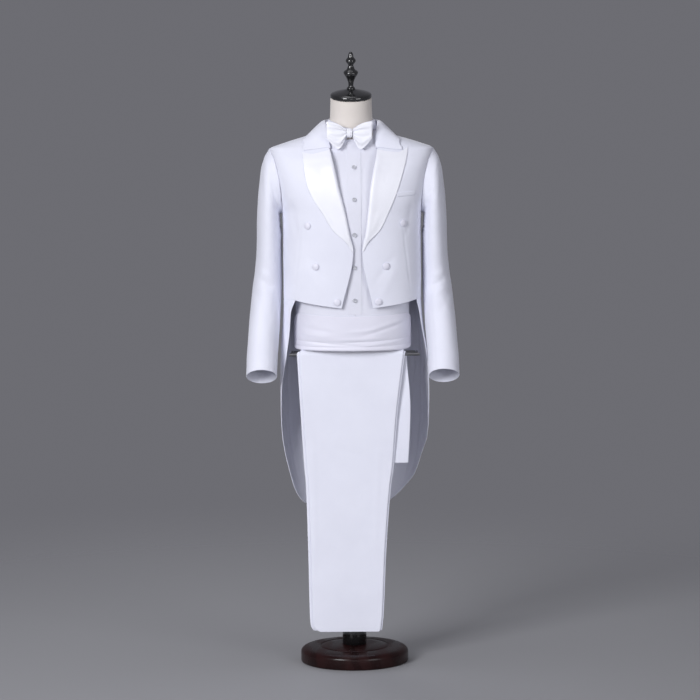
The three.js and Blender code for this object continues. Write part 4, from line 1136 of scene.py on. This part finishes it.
def shirt():
    level = heights(7, SHIRT_BOTTOM, UNDERARM, SHIRT_ARMHOLE_TOP, SHIRT_NECK)
    for side, gap in (("right", 0), ("left", 1)):
        start = angle_at(FORM, level, PLACKET_X + gap)
        angle = across(FORM, level, start, SIDES[side] * shirt_outer(level, "front"), 52)
        shirt_panel("shirt_front_" + side, level, angle, "end")
    outer = shirt_outer(level, "back")
    angle = across(FORM, level, outer, 360 - outer, 80)
    shirt_panel("shirt_back", level, angle, "start end")
    level = heights(5, PLACKET_BOTTOM, PLACKET_TOP)
    x = PLACKET_X + (places(16, PLACKET_WIDTH, 0.8)[None, :] - 0.5) * PLACKET_WIDTH
    z = level[:, None] + 0 * x
    angle = angle_at(FORM, z, x)
    piece = skin_piece("sewn_shirt_placket", FORM, z, angle, SHIRT_FACE + 0.3, PLACKET_WALL, shirt_relief)
    finish_sheet(piece, "shirt_placket", "shirting")


def shirt_collar():
    half_columns = 60

    def half(sign):
        t = np.linspace(0, 1, half_columns)
        value = {name: SHIRT_COLLAR.get(name, t) for name in SHIRT_COLLAR.columns}

        def at(z, angle, lift):
            return lifted(FORM, z, sign * angle, lift)

        def share(u):
            return mix(value["foldZ"], value["leafZ"], u), mix(value["angle"], value["leafAngle"], u)

        return np.stack([
            at(shirt_neckline(value["angle"]) + 1.5, value["angle"], STAND_LIFT),
            at(value["foldZ"], value["angle"], STAND_LIFT),
            at(value["foldZ"] + 2, value["angle"], 3.6),
            at(*share(0.12), LEAF_LIFT + 0.5),
            at(*share(0.5), LEAF_LIFT + value["flare"]),
            at(*share(1), LEAF_LIFT),
        ])

    knots = np.concatenate([half(-1), half(1)[:, ::-1][:, 1:]], axis=1)
    steps = np.concatenate([[0, 0.02], np.linspace(0.05, 0.96, 26), [0.985, 1]])
    grid = np.array([curve([0, 0.4, 0.45, 0.52, 0.75, 1], knots, s) for s in steps]).transpose(1, 0, 2)
    grow = normals_to_back(grid, half_columns, -5)
    piece = shell("sewn_shirt_collar", grid + grow * SHIRT_WALL, grid)
    finish_sheet(piece, "shirt_collar", "shirting")


def shirt_collar():
    def half(sign):
        t = np.linspace(0, 1, 60)
        value = {name: SHIRT_COLLAR.get(name, t) for name in SHIRT_COLLAR.columns}

        def at(z, angle, lift):
            return lifted(FORM, z, sign * angle, lift + 0 * t)

        def share(u):
            return mix(value["foldZ"], value["leafZ"], u), mix(value["angle"], value["leafAngle"], u)

        return np.stack([
            at(shirt_neckline(value["angle"]) + 1.5, value["angle"], STAND_LIFT),
            at(value["foldZ"], value["angle"], STAND_LIFT),
            at(value["foldZ"] + 2, value["angle"], 3.6),
            at(*share(0.12), LEAF_LIFT + 0.5),
            at(*share(0.5), LEAF_LIFT + value["flare"]),
            at(*share(1), LEAF_LIFT),
        ])

    knots = np.concatenate([half(-1), half(1)[:, ::-1][:, 1:]], axis=1)
    steps = np.concatenate([[0, 0.02], np.linspace(0.05, 0.96, 26), [0.985, 1]])
    grid = np.array([curve([0, 0.4, 0.45, 0.52, 0.75, 1], knots, s) for s in steps]).transpose(1, 0, 2)
    grow = grid_normals(grid)
    grow = -grow if (grow[60, -5] @ np.array([0, 1, 0])) < 0 else grow
    piece = shell("sewn_shirt_collar", grid + grow * SHIRT_WALL, grid)
    finish_sheet(piece, "shirt_collar", "shirting")


# The bow tie

BOW_KNOT_WALL = 1.6
# The inside of a wing, as shares of its outside across, in depth and upwards
BOW_HOLLOW = (0.9, 0.66, 0.95)


def bow_ring(x, y, z, thick, up, down, pleats, depth, lean=0.0, count=96):
    """A section of the bow across x, with its gathers; lean moves its foot forward."""
    turn = np.linspace(0, 2 * math.pi, count, endpoint=False)
    rise = power(np.sin(turn), 0.75)
    gather = depth * np.cos(pleats * math.pi * rise) * np.sign(np.cos(turn))
    ahead = thick * power(np.cos(turn), 0.7) + gather * smooth(np.abs(np.cos(turn)) * 2.5)
    ahead = ahead + lean * np.maximum(0, -rise)
    return np.stack([x + 0 * turn, y - ahead, z + np.where(rise > 0, up, down) * rise], axis=-1)


def bow_wing(side):
    rings = []
    for t in np.concatenate([[0, 0.012], np.linspace(0.04, 0.97, 46), [0.99, 1]]):
        thick, up, down = (float(BOW_WING.get(name, t)) for name in ("thick", "up", "down"))
        x = BOW_X + SIDES[side] * (BOW_WING_START + t * BOW_WING_LENGTH)
        depth = 2.4 * (1 - t) ** 1.2 + 0.8 * math.sin(3.0 * t)
        lean = BOW_LEAN * float(smooth(t / 0.3))
        ring = bow_ring(x, BOW_Y + 1, BOW_Z, thick * 0.86, up, down, 3.5, depth, lean)
        middle = ring[:, 1].mean()
        rounded = math.sqrt(1 - 0.97 * max(0.0, (t - 0.94) / 0.06) ** 2)
        ring[:, 1] = middle + (ring[:, 1] - middle) * rounded
        rings.append(ring)
    outer = np.array(rings)
    middle = outer.mean(axis=1, keepdims=True)
    piece = shell("tied_bow_wing_" + side, outer, middle + (outer - middle) * BOW_HOLLOW, closed=True)
    finish_sheet(piece, "bow_tie_wing_" + side, "satin")


def bow_knot():
    rings = []
    for t in np.linspace(-1, 1, 34):
        size = 0.86 + 0.14 * math.sqrt(max(0.0, 1 - t**2))
        pinch = 1 - 0.06 * math.cos(3 * math.pi * t)
        x, high = BOW_X + t * BOW_KNOT_HALF_WIDTH, BOW_KNOT_HALF_HEIGHT * size
        thick = BOW_KNOT_HALF_DEPTH * size * pinch
        rings.append(bow_ring(x, BOW_KNOT_Y, BOW_Z, thick, high, high, 1, 0.0, count=64))
    outer = np.array(rings)
    inner = outer - grid_normals(outer, closed=True) * BOW_KNOT_WALL
    piece = shell("tied_bow_knot", outer, inner, closed=True)
    finish_sheet(piece, "bow_tie_knot", "satin")


# The cummerbund: soft pleats that overlap upwards, sagging in front and narrower behind

CUMMERBUND_BOTTOM, CUMMERBUND_TOP = 913, 1009
CUMMERBUND_BACK_BOTTOM, CUMMERBUND_BACK_TOP = 925, 985
CUMMERBUND_WALL = 2
PLEATS = [0.0, 0.13, 0.30, 1.0]
PLEAT_DEPTHS = [1.5, 0.8, 1.7]
CUMMERBUND_CREASES = [
    (18, 42, 134, 72, 5.5, -1.3),
    (34, 55, 138, 84, 6.5, 1.0),
    (-10, 52, 60, 58, 6.0, 0.8),
    (-112, 24, 20, 14, 4.0, -1.2),
    (-30, 22, 96, 27, 3.6, -1.0),
    (-40, 30, 70, 34, 5.0, 0.8),
    (20, 13, 130, 26, 4.0, 1.0),
    (-130, 62, -40, 50, 7.0, -0.8),
    (-126, 44, -60, 36, 6.0, 0.7),
]


def cummerbund():
    angle = np.linspace(0, 360, 260, endpoint=False)[None, :]
    band = CUMMERBUND_TOP - CUMMERBUND_BOTTOM
    v = places(84, band, 1.0)[:, None]
    turn = np.radians(angle)
    x = FORM.get("side", CUMMERBUND_BOTTOM) * np.sin(turn)
    behind = smooth((np.abs(180 - angle) - 60) / -60 + 1)
    low = mix(CUMMERBUND_BOTTOM, CUMMERBUND_BACK_BOTTOM, behind)
    high = mix(CUMMERBUND_TOP + 6 * np.abs(np.sin(turn)), CUMMERBUND_BACK_TOP, behind)
    sag = 0.055 * np.cos(turn) ** 2 - 0.05 * np.sin(turn)
    fold = np.clip(v + sag * np.sin(math.pi * v) * (np.cos(turn) > 0), 0, 1)
    raised = np.zeros(fold.shape)
    for bottom, top, depth in zip(PLEATS, PLEATS[1:], PLEAT_DEPTHS):
        rise = np.clip((fold - bottom) / (top - bottom), 0, 1)
        inside = (fold >= bottom) & (fold < top)
        raised = np.where(inside, depth * np.sin(math.pi * rise**0.7) ** 0.9, raised)
    raised = raised * mix(1, 0.45, behind) + undulation(x, v * band, 0.35, 22, 0.9)
    raised += creases(x, v * band, CUMMERBUND_CREASES) * smooth(2.5 * np.cos(turn))
    z = mix(low, high, v)
    lift = SHIRT_FACE + 1.6
    outer = lifted(FORM, z, angle, lift + CUMMERBUND_WALL + raised)
    piece = shell("pleated_cummerbund", outer, lifted(FORM, z, angle, lift), closed=True)
    finish_sheet(
        piece, "cummerbund", "satin"
    )
    paint(piece, "sash_and_button_shade")


# The trousers: each leg is creased flat and hangs over the bar, front panel first, waist behind

TROUSER_WALL = 1.1
# How far a hanging leg swings back, and the depth of the groove between its layers at a folded edge
LEG_SLANT, FOLD_GROOVE = 6, 0.9
LEG_CREASES = [
    (-96, 880, -40, 780, 16, -1.0),
    (60, 870, 110, 760, 16, 0.9),
    (-112, 700, -108, 300, 6, 0.8),
    (-60, 640, 30, 610, 14, -0.9),
    (-70, 560, 10, 520, 16, 0.8),
    (-20, 480, 60, 440, 14, -0.8),
    (-80, 380, -20, 330, 14, 0.8),
    (70, 640, 60, 330, 6, 0.7),
    (-40, 260, 40, 230, 16, -0.7),
]


def leg_slant(z):
    """How far a hanging leg swings back towards the pole, by height."""
    return LEG_SLANT * smooth((BAR_Z - z) / 300)


def leg_path(radius, front_end, back_end):
    """Middle line of a leg in side view: up the front, over the bar and down behind it."""
    front = np.concatenate([[front_end, front_end + 1.2], np.linspace(front_end + 8, 896, 96)])
    over = np.linspace(0, math.pi, 22)
    back = np.concatenate([np.linspace(893, back_end + 6, 40), [back_end + 1.2, back_end]])
    before = BAR_Y - radius + leg_slant(front)
    after = BAR_Y + radius - 0.3 * leg_slant(back)
    y = np.concatenate([before, BAR_Y - radius * np.cos(over), after])
    z = np.concatenate([front, BAR_Z + radius * np.sin(over), back])
    behind = np.concatenate([0 * front, over / math.pi, 0 * back + 1])
    return y, z, behind


def flat_tube(name, y, z, right, left, out_y, out_z, thickness, relief):
    """A tube of cloth creased flat, with folded edges: its middle line and its two edges."""
    radius = thickness / 2
    face = np.linspace(0, 1, 46)
    bend = np.linspace(0, math.pi, 9)[1:-1]
    across_part = np.concatenate([face, 0 * bend + 1, face[::-1], 0 * bend])
    out_part = np.concatenate([0 * face + 1, np.cos(bend), 0 * face - 1, -np.cos(bend)])
    past_part = np.concatenate([0 * face, np.sin(bend), 0 * face, -np.sin(bend)])
    x = mix((right + radius)[:, None], (left - radius)[:, None], across_part[None])
    x = x + past_part[None] * radius
    raised = relief(x, z[:, None])
    groove = FOLD_GROOVE * (np.abs(out_part) < 0.2)
    x = x - np.sign(past_part)[None] * groove[None]
    step = out_part[None] * radius + raised
    outer = np.stack([x, y[:, None] + step * out_y[:, None], z[:, None] + step * out_z[:, None]], axis=-1)
    return shell(name, outer, outer - grid_normals(outer, closed=True) * TROUSER_WALL, closed=True)


def leg_relief(x, z):
    return (creases(x, z, LEG_CREASES) + undulation(x, z, 0.6, 60, 5.2)) * smooth((890 - z) / 60)


def waistband_relief(x, z):
    return 0.2 * np.sin(x / 9.0) + 0 * z


def trouser_leg(side, inside, inset_right, inset_left, front_end, back_end):
    y, z, behind = leg_path(inside + FOLDED_LEG / 2, front_end, back_end)
    level = np.minimum(z, 900)
    share = smooth(behind)
    right = mix(TROUSER_FRONT.get("right", level), TROUSER_BACK.get("right", level), share) + inset_right
    left = mix(TROUSER_FRONT.get("left", level), TROUSER_BACK.get("left", level), share) - inset_left
    dy, dz = np.gradient(y), np.gradient(z)
    size = np.hypot(dy, dz)
    out_y, out_z = -dz / size, dy / size
    piece = flat_tube("folded_trouser_leg_" + side, y, z, right, left, out_y, out_z, FOLDED_LEG, leg_relief)
    finish_sheet(piece, "trouser_leg_" + side, "cloth")


def waistband(side, inside):
    z = mix(TROUSER_WAIST_Z, TROUSER_WAIST_Z + WAISTBAND_HEIGHT, places(10, WAISTBAND_HEIGHT))
    y = BAR_Y + inside + FOLDED_LEG / 2 - 0.3 * LEG_SLANT + 0 * z
    right, left = TROUSER_BACK.get("right", z), TROUSER_BACK.get("left", z)
    name, thickness = "folded_waistband_" + side, FOLDED_LEG + 0.6
    piece = flat_tube(name, y, z, right, left, 0 * z - 1, 0 * z, thickness, waistband_relief)
    finish_sheet(
        piece, "trouser_waistband_" + side, "cloth"
    )


# The dress form and its stand


# The width of cloth that one of the torso's columns takes in its texture
TORSO_COLUMN = 9.6


def torso():
    """The torso and neck, drawn in a little where cloth hides the neck."""
    middle = np.linspace(930, NECK_TOP - 2, 110)
    level = np.concatenate([[TORSO_BOTTOM, TORSO_BOTTOM + 2], middle, [NECK_TOP]])[:, None]
    angle = np.linspace(0, 360, 120, endpoint=False)[None, :]
    hidden = 2.6 * smooth((1522 - level) / 40)
    tilt = math.tan(math.radians(NECK_TILT)) * smooth((level - 1540) / (NECK_TOP - 1540))
    grid = lifted(FORM, level, angle, -hidden)
    grid[..., 2] += (grid[..., 1] - FORM.get("middle", level)) * tilt
    rows, columns = grid.shape[:2]
    count = rows * columns
    points = list(grid.reshape(-1, 3)) + [grid[0].mean(axis=0), grid[-1].mean(axis=0)]
    faces = ring_faces(0, rows, columns, foot=count, head=count + 1)
    uvs = []
    for face in faces:
        wraps = any(c < count and c % columns == columns - 1 for c in face)
        for c in face:
            turn = columns if wraps and c % columns == 0 else c % columns
            uvs.append((turn * TORSO_COLUMN * MM, points[c][2] * MM) if c < count else (0.5, 0.0))
    finish_piece(mesh_object("dress_form_torso", points, faces, uvs), ["form_torso"], "jersey")


# Profiles of the turned pieces, as radius and height pairs
NECK_CAP = [
    (0, 0), (54, 0), (56.5, 1), (57.5, 3), (57.5, 8.5), (56.6, 10.8), (54, 13), (47, 15.6), (40, 18),
    (30, 20.4), (22, 22), (16, 23.6), (12, 25), (0, 25),
]
FINIAL = [
    (0, 0), (11.5, 0), (11.8, 2), (11, 4), (8.4, 6), (7, 8.5), (7, 12), (8, 20), (10.6, 27), (14, 34),
    (18, 40), (20, 44), (20.6, 46.5), (20, 49), (17, 52), (13, 54), (10.4, 57.5), (9, 62), (7.4, 65),
    (7, 68), (9.6, 71.6), (13, 76), (14.2, 79), (14, 82), (11.6, 85.6), (9, 88), (7.4, 92), (7, 96),
    (6, 100), (4, 103), (2, 104.6), (0, 105),
]
BASE = [
    (0, 0), (148, 0), (150.6, 1), (152, 4), (152, 27), (151.2, 31), (149, 34.6), (145.4, 37.8),
    (141, 40), (136, 41.2), (120, 42.6), (104, 43.6), (99.6, 43.4), (97.4, 42.4), (96, 41.5),
    (94.6, 42.2), (93, 43.6), (90, 44.4), (76, 46.4), (62, 48), (0, 48),
]
POLE_COLLAR = [(15.4, 0), (34, 0), (34, 40), (33.4, 43), (32, 45.6), (29, 48), (18, 48), (15.4, 47)]


def ring_solid(name, profile, segments=64):
    """A turned solid with a bore, from a closed profile of radius and height pairs."""
    turn = np.linspace(0, 2 * math.pi, segments, endpoint=False)
    points = [(r * math.cos(a), r * math.sin(a), h) for r, h in profile for a in turn]
    return mesh_object(name, points, ring_faces(0, len(profile), segments, loop=True))


def stand():
    finish_piece(turned("stand_base", BASE, 128), ["form_base"], "wood")
    collar = ring_solid("stand_pole_collar", POLE_COLLAR)
    collar.matrix_world = Matrix.Translation((0, 0, (BASE[-1][1] + SEAM_GAP) * MM))
    finish_piece(collar, ["form_pole_collar"], "black")
    lean = Matrix.Rotation(math.radians(NECK_TILT), 4, "X")
    neck = Matrix.Translation((0, -NECK_LEAN * MM, (NECK_TOP + SEAM_GAP) * MM)) @ lean
    for name, node, profile, lift in (
        ("neck_cap", "form_neck_cap", NECK_CAP, SEAM_GAP),
        ("neck_finial", "form_finial", FINIAL, NECK_CAP[-1][1] + 2 * SEAM_GAP),
    ):
        piece = turned(name, profile, 96)
        piece.matrix_world = neck @ Matrix.Translation((0, 0, lift * MM))
        finish_piece(piece, [node], "black")
    paint(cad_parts["form_pole"], "black")
    for part in ("bar", "bar_clamp", "bar_arm_right", "bar_arm_left", "bar_cross_right", "bar_cross_left"):
        paint(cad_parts["trouser_" + part], "steel")


# The studio

BACKDROP = (0.152, 0.152, 0.17, 1)
FLOOR_COLOUR = (0.33, 0.33, 0.345, 1)
FLOOR_RADIUS, FLOOR_SEGMENTS, FLOOR_RINGS = 4500, 96, 24
# The floor fades out between these distances from its middle, in metres
FLOOR_FADE_START, FLOOR_FADE_END = 0.8, 3.2
# Square soft boxes: name, place and width in metres, and watts; all point at the middle of the coat
LAMPS = [
    ("key", (-2.9, -4.4, 2.7), 2.0, 224),
    ("fill", (3.6, -4.4, 1.9), 2.6, 78),
    ("front", (0.2, -6.8, 1.5), 2.4, 26),
    ("top", (-0.4, -0.4, 4.4), 2.0, 14),
    ("back", (-1.2, 4.2, 3.2), 2.8, 60),
]
LAMP_COLOUR = (0.965, 0.97, 1.0)
LAMP_AIM = Vector((0, 0, 1.0))


def camera():
    data = bpy.data.cameras.new("camera")
    data.lens, data.sensor_width = CAMERA_LENS, 36
    data.clip_end = 60
    made = bpy.data.objects.new("camera", data)
    bpy.context.scene.collection.objects.link(made)
    tilt = Matrix.Rotation(math.pi / 2 - CAMERA_PITCH, 4, "X") @ Matrix.Rotation(CAMERA_ROLL, 4, "Z")
    made.matrix_world = Matrix.Translation(CAMERA_PLACE) @ tilt
    bpy.context.scene.camera = made


def pale_floor():
    """A floor that fades into the plain backdrop."""
    radius = np.linspace(0, FLOOR_RADIUS, FLOOR_RINGS + 1)[1:]
    turn = np.linspace(0, 2 * math.pi, FLOOR_SEGMENTS, endpoint=False)
    points = [(0, 0, 0)] + [(r * math.cos(a), r * math.sin(a), 0) for r in radius for a in turn]
    faces = ring_faces(1, FLOOR_RINGS, FLOOR_SEGMENTS, foot=0)
    floor = mesh_object("floor", points, [face[::-1] for face in faces])
    material, shader, fill, node, _ = node_tree("pale floor")
    fill(shader, {"Base Color": FLOOR_COLOUR, "Roughness": 0.7})
    where = node("ShaderNodeTexCoord").outputs["Object"]
    far = node("ShaderNodeVectorMath", {0: where}, operation="LENGTH").outputs["Value"]
    inputs = {"Value": far, "From Min": FLOOR_FADE_START, "From Max": FLOOR_FADE_END}
    fade = node("ShaderNodeMapRange", inputs, interpolation_type="SMOOTHSTEP").outputs[0]
    clear = node("ShaderNodeBsdfTransparent").outputs[0]
    blend = node("ShaderNodeMixShader", {0: fade, 1: shader.outputs[0], 2: clear}).outputs[0]
    fill(next(n for n in material.node_tree.nodes if n.type == "OUTPUT_MATERIAL"), {"Surface": blend})
    floor.data.materials.append(material)


def studio():
    """The backdrop, the floor and the lamps; the one behind isn't seen in glossy pieces."""
    scene = bpy.context.scene
    scene.view_settings.view_transform = "Standard"
    world = bpy.data.worlds.new("studio")
    world.use_nodes = True
    world.node_tree.nodes["Background"].inputs[0].default_value = BACKDROP
    scene.world = world
    pale_floor()
    for name, place, size, watts in LAMPS:
        data = bpy.data.lights.new(name, "AREA")
        data.shape = "SQUARE"
        data.size, data.energy, data.color = size, watts, LAMP_COLOUR
        made = bpy.data.objects.new(name, data)
        made.visible_glossy = name != "back"
        scene.collection.objects.link(made)
        turn = (LAMP_AIM - Vector(place)).to_track_quat("-Z", "Y")
        made.matrix_world = Matrix.Translation(place) @ turn.to_matrix().to_4x4()


camera()
studio()
for side in SIDES:
    coat_front(side)
    side_body(side)
    coat_back(side)
    tail_skirt(side)
    sleeve(side)
    lapel(side)
    bow_wing(side)
coat_collar()
breast_welt()
coat_buttons()
shirt()
shirt_collar()
shirt_buttons()
bow_knot()
cummerbund()
near_leg = BAR_RADIUS + 2 * LEG_GAP + FOLDED_LEG
far_leg = BAR_RADIUS + LEG_GAP
leg_end = TROUSER_WAIST_Z + WAISTBAND_HEIGHT + SEAM_GAP
trouser_leg("right", near_leg, inset_right=8, inset_left=5, front_end=115, back_end=leg_end)
trouser_leg("left", far_leg, inset_right=0, inset_left=0, front_end=118, back_end=leg_end)
waistband("right", near_leg)
waistband("left", far_leg)
torso()
stand()
